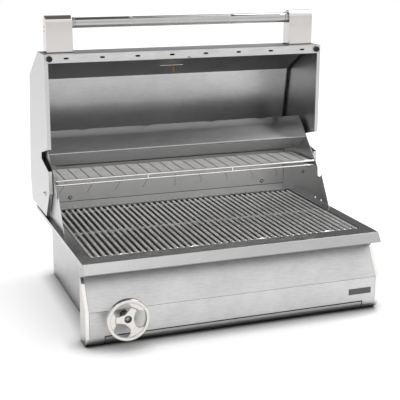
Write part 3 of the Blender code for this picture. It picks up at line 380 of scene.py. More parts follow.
# A flat outline of (y, z) points drawn out along x.
def addPlate(shape, outline, low, high):
    ends = [[shape.verts.new((x, y, z)) for y, z in outline] for x in (low, high)]
    shape.faces.new(ends[0])
    shape.faces.new(ends[1][::-1])
    for k in range(len(outline)):
        after = (k + 1) % len(outline)
        shape.faces.new((ends[0][k], ends[0][after], ends[1][after], ends[1][k]))


def arc(centre, radius, start, end, steps):
    return [
        (centre[0] + radius * math.cos(start + (end - start) * step / steps),
         centre[1] + radius * math.sin(start + (end - start) * step / steps))
        for step in range(steps + 1)]


# A rounded rectangle of (radius, height) points, for a turned ring.
def ringSection(inner, outer, low, high, corner, steps=4):
    quarter = math.pi / 2
    section = []
    for centre, start in (
            ((outer - corner, high - corner), 0), ((inner + corner, high - corner), quarter),
            ((inner + corner, low + corner), 2 * quarter), ((outer - corner, low + corner), 3 * quarter)):
        section += arc(centre, corner, start, start + quarter, steps)
    return section


# The frame of a turned piece: its foot and the direction of its axis.
def standing(foot, axis):
    turn = Vector(axis).to_track_quat("Z", "Y").to_matrix().to_4x4()
    return Matrix.Translation(Vector(foot)) @ turn


# The same for an axis that doesn't lean sideways: the frame keeps x, and its second axis points upward.
def facingFrame(foot, upward, outward):
    turn = Matrix((Vector((1, 0, 0)), upward, outward)).transposed().to_4x4()
    return Matrix.Translation(Vector(foot)) @ turn


# A flat outline of points in a piece's frame, drawn out between two heights.
def addPrint(shape, frameOfPiece, outline, low, high):
    feet = [shape.verts.new(frameOfPiece @ (corner + Vector((0, 0, low)))) for corner in outline]
    heads = [shape.verts.new(frameOfPiece @ (corner + Vector((0, 0, high)))) for corner in outline]
    shape.faces.new(heads)
    shape.faces.new(feet[::-1])
    for k in range(len(outline)):
        after = (k + 1) % len(outline)
        shape.faces.new((feet[k], feet[after], heads[after], heads[k]))


screwShares = {"socket": 0.42, "side": 0.35, "floor": 0.3, "dome": ((0.93, 0.66), (0.78, 0.90), (0.60, 1.0))}


# A domed screw head with a socket, on the frame's own plane.
def addScrew(shape, facing, radius, height):
    bore, floor = radius * screwShares["socket"], height * screwShares["floor"]
    line = [(0, 0), (radius, 0), (radius, height * screwShares["side"])]
    line += [(radius * share, height * lift) for share, lift in screwShares["dome"]]
    line += [(bore, height), (bore, floor), (0, floor)]
    addTurned(shape, line, facing, 24)


# Cooking grates

grate = {
    "count": 4, "rods": 11, "pitch": 0.0193488, "radius": 0.0045, "front": 0.062, "rear": 0.557,
    "height": -0.0048, "foot": -0.0122, "bend": 0.0060,
    "bars": 3, "barWidth": 0.008, "barHeight": 0.005, "barInset": 0.013,
    "linkRadius": 0.0025, "linkRise": 0.006, "linkBend": 0.008,
    "linkShares": ((-1, 0), (-0.45, 1), (0.45, 1), (1, 0)),
}


# Round rods whose ends turn down, on flat bars; the short middle rod leaves room for a finger link.
def makeGrate(number):
    g = grate
    centre = (number - (g["count"] - 1) / 2) * g["pitch"] * g["rods"]
    bars = spread(g["bars"], g["front"] + g["barInset"], g["rear"] - g["barInset"])
    half = (g["rods"] - 1) / 2 * g["pitch"]
    shape = bmesh.new()
    for index in range(g["rods"]):
        x = centre - half + index * g["pitch"]
        front = [(x, g["front"], g["foot"]), (x, g["front"], g["height"])]
        if index == g["rods"] // 2:
            front = [(x, bars[0] - g["barWidth"] / 2, g["height"])]
        line = bent([*front, (x, g["rear"], g["height"]), (x, g["rear"], g["foot"])], g["bend"])
        addWire(shape, line, g["radius"])
    for y in bars:
        reach = half + g["radius"]
        addBlock(
            shape, (centre - reach, y - g["barWidth"] / 2, g["foot"]),
            (centre + reach, y + g["barWidth"] / 2, g["foot"] + g["barHeight"]))
    link = [
        (centre + way * g["pitch"], g["front"] + g["linkRise"] * rise, g["height"])
        for way, rise in g["linkShares"]]
    grip = bmesh.new()
    addWire(grip, bent(link, g["linkBend"], 8), g["linkRadius"])
    label = str(number + 1)
    body, solids = "grate_" + label, ("cooking_grate_" + label,)
    newPiece("grate_rods_" + label, shape, grateSteel, body, solids)
    newPiece("grate_finger_link_" + label, grip, linkPaintedHighlight, body)


for number in range(grate["count"]):
    makeGrate(number)
print("cooking grates built")

# Warming rack

rack = {
    "front": 0.405, "rear": 0.555, "top": 0.136, "end": 0.4400, "wire": 0.002, "rows": 16, "fineEnd": 0.4285,
    "frontWire": 0.003, "lowerDrop": 0.014, "lowerStep": 0.0015,
    "crossWire": 0.0020, "crosses": 22, "crossEnd": 0.4085,
    "postAt": 0.144, "postRadius": 0.0024, "postStep": 0.001,
    "channel": 0.428, "channelFoot": 0.1213, "sheet": 0.0015, "wallHeight": 0.0155, "wallInset": 0.001,
}


# Fine wires on cross wires, a folded channel at each end, and two joined wires along the front.
def makeRack():
    r = rack
    shape = bmesh.new()
    for y in spread(r["rows"], r["front"], r["rear"] - r["wire"])[1:]:
        addWire(shape, [(-r["fineEnd"], y, r["top"]), (r["fineEnd"], y, r["top"])], r["wire"], 8)
    fronts = bmesh.new()
    for y, z in ((r["front"], r["top"]), (r["front"] + r["lowerStep"], r["top"] - r["lowerDrop"])):
        addWire(fronts, [(-r["end"], y, z), (r["end"], y, z)], r["frontWire"], 14)
    crosses = bmesh.new()
    for x in spread(r["crosses"], -r["crossEnd"], r["crossEnd"]):
        line = [(x, r["front"], r["top"]), (x, r["rear"] - r["crossWire"], r["top"])]
        addWire(crosses, line, r["crossWire"], 8)
    for x in (-r["postAt"], r["postAt"]):
        y = r["front"] - r["postStep"]
        addWire(fronts, [(x, y, r["top"] - r["lowerDrop"]), (x, y, r["top"])], r["postRadius"], 10)
    channels = bmesh.new()
    front, foot = r["front"] - r["frontWire"], r["channelFoot"]
    wallInner = r["end"] - r["wallInset"]
    wallOuter = wallInner + r["sheet"]
    for sign in (-1, 1):
        for inner, height in ((r["channel"], r["sheet"]), (wallInner, r["wallHeight"])):
            low, high = sorted((sign * inner, sign * wallOuter))
            addBlock(channels, (low, front, foot), (high, r["rear"], foot + height))
    newPiece("rack_wires", shape, rackSteel, "rack", ("warming_rack",))
    newPiece("rack_front_wires", fronts, linkPaintedHighlight, "rack")
    newPiece("rack_cross_wires", crosses, rackPaintedShade, "rack")
    newPiece("rack_end_channels", channels, rackPaintedShade, "rack")


makeRack()
print("warming rack built")

# Hand wheel

wheel = {
    "at": (-0.348, -0.016862, -0.150133), "tilt": 0.5436,
    "rim": 0.0608, "rimWidth": 0.0102, "rimDepth": 0.0160, "front": 0.0520, "corner": 0.0038,
    "firstSpoke": 59.0, "spokes": 3, "plate": 0.0435, "thick": 0.0055, "sides": 10,
    "joined": 60.0, "crown": 0.0008, "weld": 0.00002, "edge": 0.0011,
    "recess": 0.0105, "recessFloor": 0.0330, "hub": 0.0162, "hubSink": 0.001, "hubRear": 0.0210,
    "hubSlope": 0.004, "neck": 0.0100, "neckRound": 0.001, "neckRear": 0.0125,
    "screw": 0.0048, "screwTop": 0.0392, "screwSink": 0.001, "screwRound": 0.0006,
    "socket": 0.0024, "socketFloor": 0.0362, "socketRound": 0.0003,
}
# Stations out along a spoke: distance from the axis, half the angle that the plate fills, height of its face.
spokeLine = (
    (0.0105, 60.0, 0.0435), (0.0165, 60.0, 0.0435), (0.0185, 46.0, 0.0435), (0.0215, 33.0, 0.0435),
    (0.0260, 23.0, 0.0435), (0.0310, 18.5, 0.0435), (0.0330, 18.0, 0.0437), (0.0350, 18.5, 0.0450),
    (0.0375, 20.0, 0.0478), (0.0410, 23.0, 0.0496), (0.0450, 27.0, 0.0500), (0.0485, 31.5, 0.0497),
    (0.0520, 37.0, 0.0480),
)


# Dished plates with crowned faces; round the recess each fills its third of a turn, so they run together.
def addSpokes(shape, axis):
    w = wheel
    columns = w["sides"]
    for number in range(w["spokes"]):
        middle = w["firstSpoke"] + number * 360 / w["spokes"]
        grids = []
        for drop in (0, w["thick"]):
            grid = []
            for distance, halfAngle, height in spokeLine:
                row = []
                for k in range(columns + 1):
                    way = k / columns * 2 - 1
                    heading = math.radians(middle + halfAngle * way)
                    level = height - drop - (0 if halfAngle == w["joined"] else w["crown"] * way ** 4)
                    point = Vector((distance * math.cos(heading), distance * math.sin(heading), level))
                    row.append(shape.verts.new(axis @ point))
                grid.append(row)
            grids.append(grid)
            for first, second in zip(grid, grid[1:]):
                for k in range(columns):
                    shape.faces.new((first[k], first[k + 1], second[k + 1], second[k]))
        tops, feet = grids
        for step in range(1, len(spokeLine) - 1):
            for k in (0, columns):
                shape.faces.new((tops[step][k], tops[step + 1][k], feet[step + 1][k], feet[step][k]))
        for end in (0, -1):
            for k in range(columns):
                shape.faces.new((tops[end][k], tops[end][k + 1], feet[end][k + 1], feet[end][k]))
    bmesh.ops.remove_doubles(shape, verts=shape.verts, dist=w["weld"])


# A chromed casting: a rounded rim on three dished spokes that run together round a recessed screw.
def makeWheel():
    w = wheel
    tilt = math.radians(w["tilt"])
    outward = Vector((0, -math.cos(tilt), -math.sin(tilt)))
    upward = Vector((0, -math.sin(tilt), math.cos(tilt)))
    axis = facingFrame(w["at"], upward, outward)
    shape = bmesh.new()
    addSpokes(shape, axis)
    section = ringSection(
        w["rim"] - w["rimWidth"], w["rim"], w["front"] - w["rimDepth"], w["front"], w["corner"])
    addTurned(shape, section, axis, 96, closed=True)
    below = w["plate"] - w["thick"] + w["hubSink"]
    rear, ease = w["hubRear"], w["neckRound"]
    hub = bmesh.new()
    addTurned(hub, [
        (0, w["recessFloor"]), (w["recess"], w["recessFloor"]), (w["recess"], below), (w["hub"], below),
        (w["hub"], rear + w["hubSlope"]), (w["neck"] + ease, rear), (w["neck"], rear - ease),
        (w["neck"], w["neckRear"]), (0, w["neckRear"])], axis, 64)
    # The hub's dark colour paints the shade in the recess and behind the spokes.
    newPiece("wheel_hub", hub, castAsCastPaintedShade, "wheel")
    newPiece(
        "wheel_rim_and_spokes", shape, castPolish, "wheel", ("hand_wheel",),
        smoothAngle=40, edge=w["edge"])
    top, foot, lip = w["screwTop"], w["recessFloor"] - w["screwSink"], w["screwRound"]
    screw = bmesh.new()
    addTurned(screw, [
        (0, w["socketFloor"]), (w["socket"], w["socketFloor"]), (w["socket"], top - w["socketRound"]),
        (w["socket"] + w["socketRound"], top), (w["screw"] - lip, top), (w["screw"], top - lip),
        (w["screw"], foot), (0, foot)], axis, 36)
    newPiece("wheel_centre_screw", screw, zincSteel, "wheel", ("wheel_screw",))


makeWheel()
print("hand wheel built")

# Handle, posts and bumpers

handle = {
    "y": 0.4805, "z": 0.607, "radius": 0.016, "half": 0.3494, "bore": 0.0140,
    "endRun": 0.0012, "endDrop": 0.0004, "plainInset": 0.02, "plainSteps": 12,
    "knurlFrom": -0.170, "knurlTo": 0.160, "knurlGap": 0.002, "diamonds": 18, "pitch": 0.00559,
    "depth": 0.00065, "step": 0.0014,
}
collar = {
    "radius": 0.0168, "end": 0.3597, "width": 0.0095, "lead": 0.0008, "rearLead": 0.0003,
    "grooves": (0.0030, 0.0058), "grooveDepth": 0.0008, "grooveFloor": 0.0007, "grooveSlope": 0.0003,
}


# A drawn tube with a diamond-knurled grip; the knurl is drawn a little coarser than real so that it shows.
def makeTube():
    h = handle
    half, knurlFrom, knurlTo = h["half"], h["knurlFrom"], h["knurlTo"]
    columns = h["diamonds"] * 4
    turns = [2 * math.pi * k / columns for k in range(columns)]
    stations = [-half, -half + h["endRun"]]
    stations += spread(h["plainSteps"], -half + h["plainInset"], knurlFrom - h["knurlGap"])
    stations += spread(int((knurlTo - knurlFrom) / h["step"]) + 1, knurlFrom, knurlTo)
    stations += spread(h["plainSteps"], knurlTo + h["knurlGap"], half - h["plainInset"])
    stations += [half - h["endRun"], half]
    shape = bmesh.new()
    rings = []
    for x in stations:
        ring = []
        for turn in turns:
            radius = h["radius"] - (h["endDrop"] if abs(x) == half else 0)
            if knurlFrom <= x <= knurlTo:
                travel = 2 * math.pi * (x - knurlFrom) / h["pitch"]
                around = turn * h["diamonds"]
                groove = max(math.cos(travel + around), math.cos(travel - around))
                radius -= h["depth"] * (0.5 + 0.5 * groove)
            point = (x, h["y"] + radius * math.cos(turn), h["z"] + radius * math.sin(turn))
            ring.append(shape.verts.new(point))
        rings.append(ring)
    for x in (half, -half):
        rings.append([
            shape.verts.new((x, h["y"] + h["bore"] * math.cos(turn), h["z"] + h["bore"] * math.sin(turn)))
            for turn in turns])
    for first, second in zip(rings, rings[1:] + rings[:1]):
        knurled = all(knurlFrom <= ring[0].co.x <= knurlTo for ring in (first, second))
        for k in range(columns):
            after = (k + 1) % columns
            face = shape.faces.new((first[k], first[after], second[after], second[k]))
            face.material_index = 1 if knurled else 0
    tube = newPiece(
        "handle_grip_tube", shape, brushedTube, "hood", ("handle_tube",), smoothAngle=50)
    tube.data.materials.append(knurlSteel)


# Turned collars between the tube and the posts, with two grooves each.
def makeCollars():
    h, c = handle, collar
    inner, end, radius, slope = c["end"] - c["width"], c["end"], c["radius"], c["grooveSlope"]
    line = [(h["bore"], inner), (radius - c["lead"], inner), (radius, inner + c["lead"])]
    for rise in c["grooves"]:
        start, floor = inner + rise, radius - c["grooveDepth"]
        line += [(radius, start), (floor, start + slope), (floor, start + slope + c["grooveFloor"]),
                 (radius, start + 2 * slope + c["grooveFloor"])]
    line += [(radius, end - c["rearLead"]), (radius - c["rearLead"], end), (h["bore"], end)]
    for side, sign in bothSides:
        shape = bmesh.new()
        addTurned(shape, line, standing((0, h["y"], h["z"]), (sign, 0, 0)), 64, closed=True)
        newPiece(
            "handle_end_collar_" + side, shape, brushedTube, "hood",
            ("handle_collar_" + side,))


makeTube()
makeCollars()

post = {
    "inner": 0.360, "outer": 0.442, "radius": 0.0235, "edge": 0.0016, "skin": 0.520,
    "darkStrip": 0.0010, "darkStripReach": 0.0008, "darkStripEdge": 0.0002,
    "screwRadius": 0.0028, "screwProud": 0.0009, "screwSink": 0.0006, "screwDrops": (0.010, 0.022),
}


# A square post with a half-round head, on a thin dark strip, with two small screws in its outer side.
def makePosts():
    p, h = post, handle
    foot = p["skin"] + p["darkStrip"]
    front, rear = h["y"] - p["radius"], h["y"] + p["radius"]
    outline = [(rear, foot), *arc((h["y"], h["z"]), p["radius"], 0, math.pi, 40), (front, foot)]
    for side, sign in bothSides:
        low, high = sorted((sign * p["inner"], sign * p["outer"]))
        shape = bmesh.new()
        addPlate(shape, outline, low, high)
        newPiece(
            "handle_stand_" + side, shape, brushedPost, "hood",
            ("handle_post_" + side,), smoothAngle=30, edge=p["edge"])
        darkStripShape = bmesh.new()
        reach = p["darkStripReach"]
        addBlock(darkStripShape, (low - reach, front - reach, p["skin"]), (high + reach, rear + reach, foot))
        newPiece(
            "handle_stand_dark_strip_" + side, darkStripShape, rubberBlack, "hood",
            smoothAngle=30, edge=p["darkStripEdge"])
        screws = bmesh.new()
        for drop in p["screwDrops"]:
            facing = standing((sign * (p["outer"] - p["screwSink"]), h["y"], h["z"] - drop), (sign, 0, 0))
            addScrew(screws, facing, p["screwRadius"], p["screwProud"] + p["screwSink"])
        newPiece("handle_stand_screws_" + side, screws, zincSteel, "hood")


makePosts()

bumper = {
    "x": 0.442, "z": 0.507, "front": 0.4133, "rear": 0.4207, "radius": 0.009, "round": 0.0016,
    "hole": 0.0034, "holeRound": 0.0004, "holeDepth": 0.0022, "screwFit": 0.0005, "screwHeight": 0.0014,
}


# The rubber stops that the closed hood rests on, each with a screw in a counterbore.
def makeBumpers():
    b = bumper
    thick, ease = b["rear"] - b["front"], b["round"]
    floor = thick - b["holeDepth"]
    line = [(0, 0), (b["radius"], 0), *arc((b["radius"] - ease, thick - ease), ease, 0, math.pi / 2, 5)]
    line += [
        (b["hole"] + b["holeRound"], thick), (b["hole"], thick - b["holeRound"]),
        (b["hole"], floor), (0, floor)]
    for side, sign in bothSides:
        shape = bmesh.new()
        addTurned(shape, line, standing((sign * b["x"], b["rear"], b["z"]), (0, -1, 0)), 40)
        newPiece("bumper_disc_" + side, shape, rubberBlack, "hood", ("bumper_" + side,))
        screw = bmesh.new()
        sunk = standing((sign * b["x"], b["front"] + b["holeDepth"], b["z"]), (0, -1, 0))
        addScrew(screw, sunk, b["hole"] - b["screwFit"], b["screwHeight"])
        newPiece("bumper_screw_" + side, screw, darkSteelAndPaintedLines, "hood")


makeBumpers()
print("handle, posts and bumpers built")

# Hinges

hinge = {
    "y": 0.491, "z": 0.078, "side": 0.4572, "sideFit": 0.0001, "boltEnd": 0.4640, "shank": 0.0034,
    "shankInset": 0.0016, "head": 0.0062, "headRim": 0.0022, "headRound": 0.0036,
    "socket": 0.0018, "socketTaper": 0.0002, "mouthDrop": 0.0009, "taperDrop": 0.0012, "socketDepth": 0.0035,
    "wingInner": 0.4423, "wingFit": 0.0002, "nut": 0.0055, "nutDepth": 0.0038, "nutEnd": 0.4358,
    "dome": 0.0046, "domeFoot": 0.0036, "domeSink": 0.0010, "nutEdge": 0.0003,
    "domeFrom": 0.2, "domeTip": 0.05,  # radians left out at its foot and tip
}


# Button-head bolts through the hood's sides, with dome nuts inside the wings.
def makeHinges():
    h = hinge
    start, end, foot = h["side"] + h["sideFit"], h["boltEnd"], h["nutEnd"] + h["shankInset"]
    rim, ease = start + h["headRim"], h["headRound"]
    boltLine = [(0, foot), (h["shank"], foot), (h["shank"], start), (h["head"], start), (h["head"], rim)]
    boltLine += arc((h["head"] - ease, rim), ease, 0, math.pi / 2, 6)
    boltLine += [
        (h["socket"] + h["socketTaper"], end - h["mouthDrop"]), (h["socket"], end - h["taperDrop"]),
        (h["socket"], end - h["socketDepth"]), (0, end - h["socketDepth"])]
    nutStart, nutEnd = h["wingInner"] - h["wingFit"], h["nutEnd"]
    corners = [math.radians(60 * k) for k in range(6)]
    hexagon = [(h["y"] + h["nut"] * math.cos(turn), h["z"] + h["nut"] * math.sin(turn)) for turn in corners]
    domeFoot, dome = nutStart - h["domeFoot"], h["dome"]
    nutLine = [(0, domeFoot + h["domeSink"]), (dome, domeFoot + h["domeSink"]), (dome, domeFoot)]
    nutLine += [
        (dome * math.cos(turn), domeFoot - (domeFoot - nutEnd) * math.sin(turn))
        for turn in spread(6, h["domeFrom"], math.pi / 2 - h["domeTip"])]
    nutLine.append((0, nutEnd))
    for side, sign in bothSides:
        facing = standing((0, h["y"], h["z"]), (sign, 0, 0))
        bolt = bmesh.new()
        addTurned(bolt, boltLine, facing, 32)
        newPiece(
            "hinge_button_bolt_" + side, bolt, mirrorSteel, "root",
            ("hinge_bolt_" + side,))
        nut = bmesh.new()
        low, high = sorted((sign * nutStart, sign * (nutStart - h["nutDepth"])))
        addPlate(nut, hexagon, low, high)
        addTurned(nut, nutLine, facing, 24)
        newPiece(
            "hinge_dome_nut_" + side, nut, zincSteel, "root", ("hinge_nut_" + side,),
            smoothAngle=30, edge=h["nutEdge"])


makeHinges()

# Thermometer

thermometer = {
    "at": (0, 0.5985, 0.476), "outward": (0, 0.5035, 0.8640), "radius": 0.039, "depth": 0.0130,
    "footGap": 0.0002, "footInset": 0.002, "footRise": 0.0016, "wallDrop": 0.004, "rimRound": 0.0035,
    "bezel": 0.0050, "bezelDrop": 0.0004, "floorDrop": 0.001,
    "dialHeight": 0.0080, "dialFit": 0.0002, "dialThick": 0.0008,
    "firstMark": 225.0, "sweep": 270.0, "marks": 8, "ticks": 5, "markEnd": 0.0318,
    "long": (0.0270, 0.0006), "short": (0.0292, 0.0003),  # inner end and half width of a mark
    "printSink": 0.0001, "printRise": 0.0002,
    "numbers": ("100", "200", "300", "400", "500", "600", "700"), "numberSize": 0.0062, "numberRing": 0.0222,
    "needle": 62.0, "needleTail": 0.008, "needleReach": 0.026, "tailHalf": 0.0012, "tipHalf": 0.0002,
    "needleLow": 0.0008, "needleHigh": 0.0013, "hub": 0.0022, "hubSide": 0.0016, "hubTip": 0.0019,
}
dialOutward = Vector(thermometer["outward"]).normalized()
dialUpward = Vector((0, dialOutward.z, -dialOutward.y))
dialFrame = facingFrame(thermometer["at"], dialUpward, dialOutward)


# The ways along and across a line that leaves the dial's centre at an angle.
def dialWays(angle):
    heading = math.radians(angle)
    along = Vector((math.cos(heading), math.sin(heading), 0))
    return along, Vector((-along.y, along.x, 0))


# A spun case with an open dial in it.
def makeCase():
    t = thermometer
    top, radius, height, ease = t["depth"], t["radius"], t["dialHeight"], t["rimRound"]
    inner, floor = radius - t["bezel"], height - t["floorDrop"]
    line = [
        (0, t["footGap"]), (radius - t["footInset"], t["footGap"]), (radius, t["footRise"]),
        (radius, top - t["wallDrop"]), *arc((radius - ease, top - ease), ease, 0, math.pi / 2, 6),
        (inner, top - t["bezelDrop"]), (inner, floor), (0, floor)]
    case = bmesh.new()
    addTurned(case, line, dialFrame, 72)
    newPiece("thermometer_bezel", case, mirrorSteel, "hood", ("thermometer_case",))
    edge, back = inner - t["dialFit"], height - t["dialThick"]
    dial = bmesh.new()
    addTurned(dial, [(0, height), (edge, height), (edge, back), (0, back)], dialFrame, 64)
    newPiece("thermometer_dial", dial, dialEnamel, "hood")


# Marks round the dial, with numbers between the long ones.
def makeScale():
    t = thermometer
    height = t["dialHeight"]
    lastTick = (t["marks"] - 1) * t["ticks"]
    marks = bmesh.new()
    for index in range(lastTick + 1):
        along, across = dialWays(t["firstMark"] - t["sweep"] * index / lastTick)
        inner, half = t["long"] if index % t["ticks"] == 0 else t["short"]
        outline = [
            along * inner - across * half, along * t["markEnd"] - across * half,
            along * t["markEnd"] + across * half, along * inner + across * half]
        addPrint(marks, dialFrame, outline, height - t["printSink"], height + t["printRise"])
    newPiece("thermometer_marks", marks, dialInk, "hood")
    for index, label in enumerate(t["numbers"]):
        along = dialWays(t["firstMark"] - t["sweep"] * (index + 0.5) / len(t["numbers"]))[0]
        curve = bpy.data.curves.new("thermometer_number_" + label, "FONT")
        curve.body = label
        curve.size = t["numberSize"]
        curve.align_x, curve.align_y = "CENTER", "CENTER"
        curve.extrude = t["printSink"]
        curve.materials.append(dialInk)
        number = bpy.data.objects.new("thermometer_number_" + label, curve)
        bpy.context.scene.collection.objects.link(number)
        spot = along * t["numberRing"] + Vector((0, 0, height + t["printSink"]))
        number.matrix_world = Matrix.Translation(modelOrigin) @ dialFrame @ Matrix.Translation(spot)
        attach(number, "hood")


# A tapered needle on a low hub.
def makeNeedle():
    t = thermometer
    height = t["dialHeight"]
    along, across = dialWays(t["needle"])
    tail, tip = -along * t["needleTail"], along * t["needleReach"]
    outline = [
        tail - across * t["tailHalf"], tip - across * t["tipHalf"],
        tip + across * t["tipHalf"], tail + across * t["tailHalf"]]
    needle = bmesh.new()
    addPrint(needle, dialFrame, outline, height + t["needleLow"], height + t["needleHigh"])
    hubLine = [(0, height), (t["hub"], height), (t["hub"], height + t["hubSide"]), (0, height + t["hubTip"])]
    addTurned(needle, hubLine, dialFrame, 24)
    newPiece("thermometer_needle", needle, needleRed, "hood")


makeCase()
makeScale()
makeNeedle()
print("hinges and thermometer built")

# Probe and its guard, inside the hood

probe = {
    "reach": 0.052, "stem": 0.0031, "foot": 0.0005, "boss": 0.0100, "bossEnd": 0.0252, "bossRound": 0.001,
    "liner": 0.0235, "guardLeft": -0.045, "guardRight": 0.033, "guardStand": 0.008, "guardRise": 0.012,
    "guardRadius": 0.0019, "guardBend": 0.004, "footRadius": 0.0042, "footHeight": 0.0012,
}


# A brass stem on a round boss, under a bent wire that keeps it from knocks.
def makeProbe():
    p = probe
    middle = Vector(thermometer["at"])
    tip, ease, start = p["reach"], p["bossRound"], p["reach"] - p["stem"]
    line = [
        (0, p["foot"]), (p["boss"], p["foot"]), (p["boss"], p["bossEnd"] - ease),
        (p["boss"] - ease, p["bossEnd"]), (p["stem"], p["bossEnd"]), (p["stem"], start),
        *arc((0, start), p["stem"], 0, math.pi / 2, 6)[1:-1], (0, tip)]
    stem = bmesh.new()
    addTurned(stem, line, standing(middle, -dialOutward), 24)
    newPiece("probe_stem", stem, brassDull, "hood", ("thermometer_probe",))
    inner = middle - dialOutward * p["liner"]
    left, right = Vector((p["guardLeft"], 0, 0)), Vector((p["guardRight"], 0, 0))
    lift = inner - dialOutward * p["guardStand"]
    top = lift - dialUpward * p["guardRise"]
    points = [inner + left, lift + left, top + left, top + right, lift + right, inner + right]
    guard = bmesh.new()
    addWire(guard, bent(points, p["guardBend"], 5), p["guardRadius"], 12)
    newPiece("probe_guard_wire", guard, rackSteel, "hood", ("probe_guard",))
    footLine = [(0, 0), (p["footRadius"], 0), (p["footRadius"], p["footHeight"]), (0, p["footHeight"])]
    feet = bmesh.new()
    for side in (left, right):
        addTurned(feet, footLine, standing(inner + side, -dialOutward), 20)
    newPiece("probe_guard_feet", feet, darkSteelAndPaintedLines, "hood")


makeProbe()

# Small fixings, and painted lines on the fixed sheets

badge = {
    "left": 0.3562, "right": 0.4306, "foot": -0.1857, "head": -0.1673, "face": -0.0170, "proud": 0.0009,
    "sink": 0.0004, "edge": 0.0004,
}
# Dark lines painted on the leaning back wall as the reflections of the rack's cross wires, each a line of (x,
# z) points: one shape at each side of a straight one.
wallReflectionLines = {
    "pitch": 0.0945, "count": 9, "wallFoot": (0.5652, 0.025), "wallHead": (0.5615, 0.145), "radius": 0.0006,
    "left": ((0.003, 0.092), (-0.0045, 0.0755), (-0.0205, 0.052)),
    "middle": ((0, 0.092), (0, 0.0475)),
    "right": ((-0.010, 0.088), (-0.0062, 0.076), (0.0015, 0.0632), (-0.0035, 0.0525)),
}
# Thin dark lines that paint the shade where sheets are folded or meet, with their radius.
paintedFoldShade = {
    "wallCrease": ((-0.4020, 0.5651, 0.0250), (0.4430, 0.5645, 0.0250), 0.0008),
    "wallEnd": ((0.4030, 0.5650, 0.030), (0.4030, 0.5614, 0.144), 0.0008),
    "consoleBend": ((-0.4455, -0.0170, -0.1357), (0.4455, -0.0170, -0.1357), 0.0004),
}
standoff = {
    "x": (-0.3609, 0.3202), "y": 0.5645, "z": 0.038, "radius": 0.0046, "height": 0.0030, "sink": 0.0008,
    "washer": 0.0066, "washerHeight": 0.0010, "washerRound": 0.0004, "washerSink": 0.0004,
}
rivetShares = ((1, 0), (0.92, 0.6), (0.6, 0.95), (0, 1))
rivets = {
    "shell_rivets": {
        "x": 0.4105, "spots": ((0.393, -0.202), (0.601, -0.203)), "radius": 0.0036, "height": 0.0016},
    "trim_flap_screws": {"x": 0.4572, "spots": ((0.0227, -0.0198),), "radius": 0.0026, "height": 0.0012},
}
rivetSink = 0.0004


# The nameplate, left bare.
def makeBadge():
    b = badge
    plate = bmesh.new()
    addBlock(
        plate, (b["left"], b["face"] - b["proud"], b["foot"]), (b["right"], b["face"] + b["sink"], b["head"]))
    newPiece("badge_bare_plate", plate, badgePlate, "root", smoothAngle=30, edge=b["edge"])


# How far back the leaning wall's face is at a height.
def wallFace(z):
    (footY, footZ), (headY, headZ) = wallReflectionLines["wallFoot"], wallReflectionLines["wallHead"]
    return footY + (headY - footY) * (z - footZ) / (headZ - footZ)


# Thin dark wires, half sunk in the faces of the sheets: painted reflections of the rack's wires on the back
# wall, and painted shade in the folds and the joint.
def makeSheetLines():
    c = wallReflectionLines
    shape = bmesh.new()
    for index in range(c["count"]):
        step = index - c["count"] // 2
        line = c["middle"] if step == 0 else c["left"] if step < 0 else c["right"]
        addWire(shape, [(step * c["pitch"] + x, wallFace(z), z) for x, z in line], c["radius"], 8)
    newPiece("wall_painted_wire_reflections", shape, darkSteelAndPaintedLines, "root")
    shape = bmesh.new()
    for start, end, radius in paintedFoldShade.values():
        addWire(shape, [start, end], radius, 8)
    newPiece("sheet_painted_fold_shade", shape, darkSteelAndPaintedLines, "root")


# Two screws with washers in the back wall, and low heads at both sides of the shell and the trim.
def makeFixings():
    s = standoff
    wide, high, ease = s["washer"], s["washerHeight"], s["washerRound"]
    washerLine = [(0, 0), (wide, 0), (wide, high - ease), (wide - ease, high), (0, high)]
    heads, washers = bmesh.new(), bmesh.new()
    for x in s["x"]:
        addScrew(heads, standing((x, s["y"] + s["sink"], s["z"]), (0, -1, 0)), s["radius"], s["height"])
        addTurned(washers, washerLine, standing((x, s["y"] + s["washerSink"], s["z"]), (0, -1, 0)), 28)
    newPiece("wall_standoff_screws", heads, mirrorSteel, "root")
    newPiece("wall_standoff_washers", washers, darkSteelAndPaintedLines, "root")
    for name, r in rivets.items():
        line = [(0, 0)] + [(r["radius"] * share, r["height"] * lift) for share, lift in rivetShares]
        heads = bmesh.new()
        for sign in (-1, 1):
            for y, z in r["spots"]:
                addTurned(heads, line, standing((sign * (r["x"] - rivetSink), y, z), (sign, 0, 0)), 20)
        newPiece(name, heads, zincSteel, "root")


makeBadge()
makeSheetLines()
makeFixings()

# Heat shield

# line holds the (y, z) of its top edge, two folds and foot; a notch's middle is a share of half its width.
shield = {
    "line": ((0.540, 0.267), (0.517, 0.248), (0.474, 0.204), (0.556, 0.150)), "half": 0.4420, "thick": 0.0015,
    "bend": 0.0035, "notch": 0.0035, "notchHalf": 0.0140, "notchShares": (-0.72, -0.25, 0.27, 0.68),
    "paintedLighterBelow": 0.202,
}


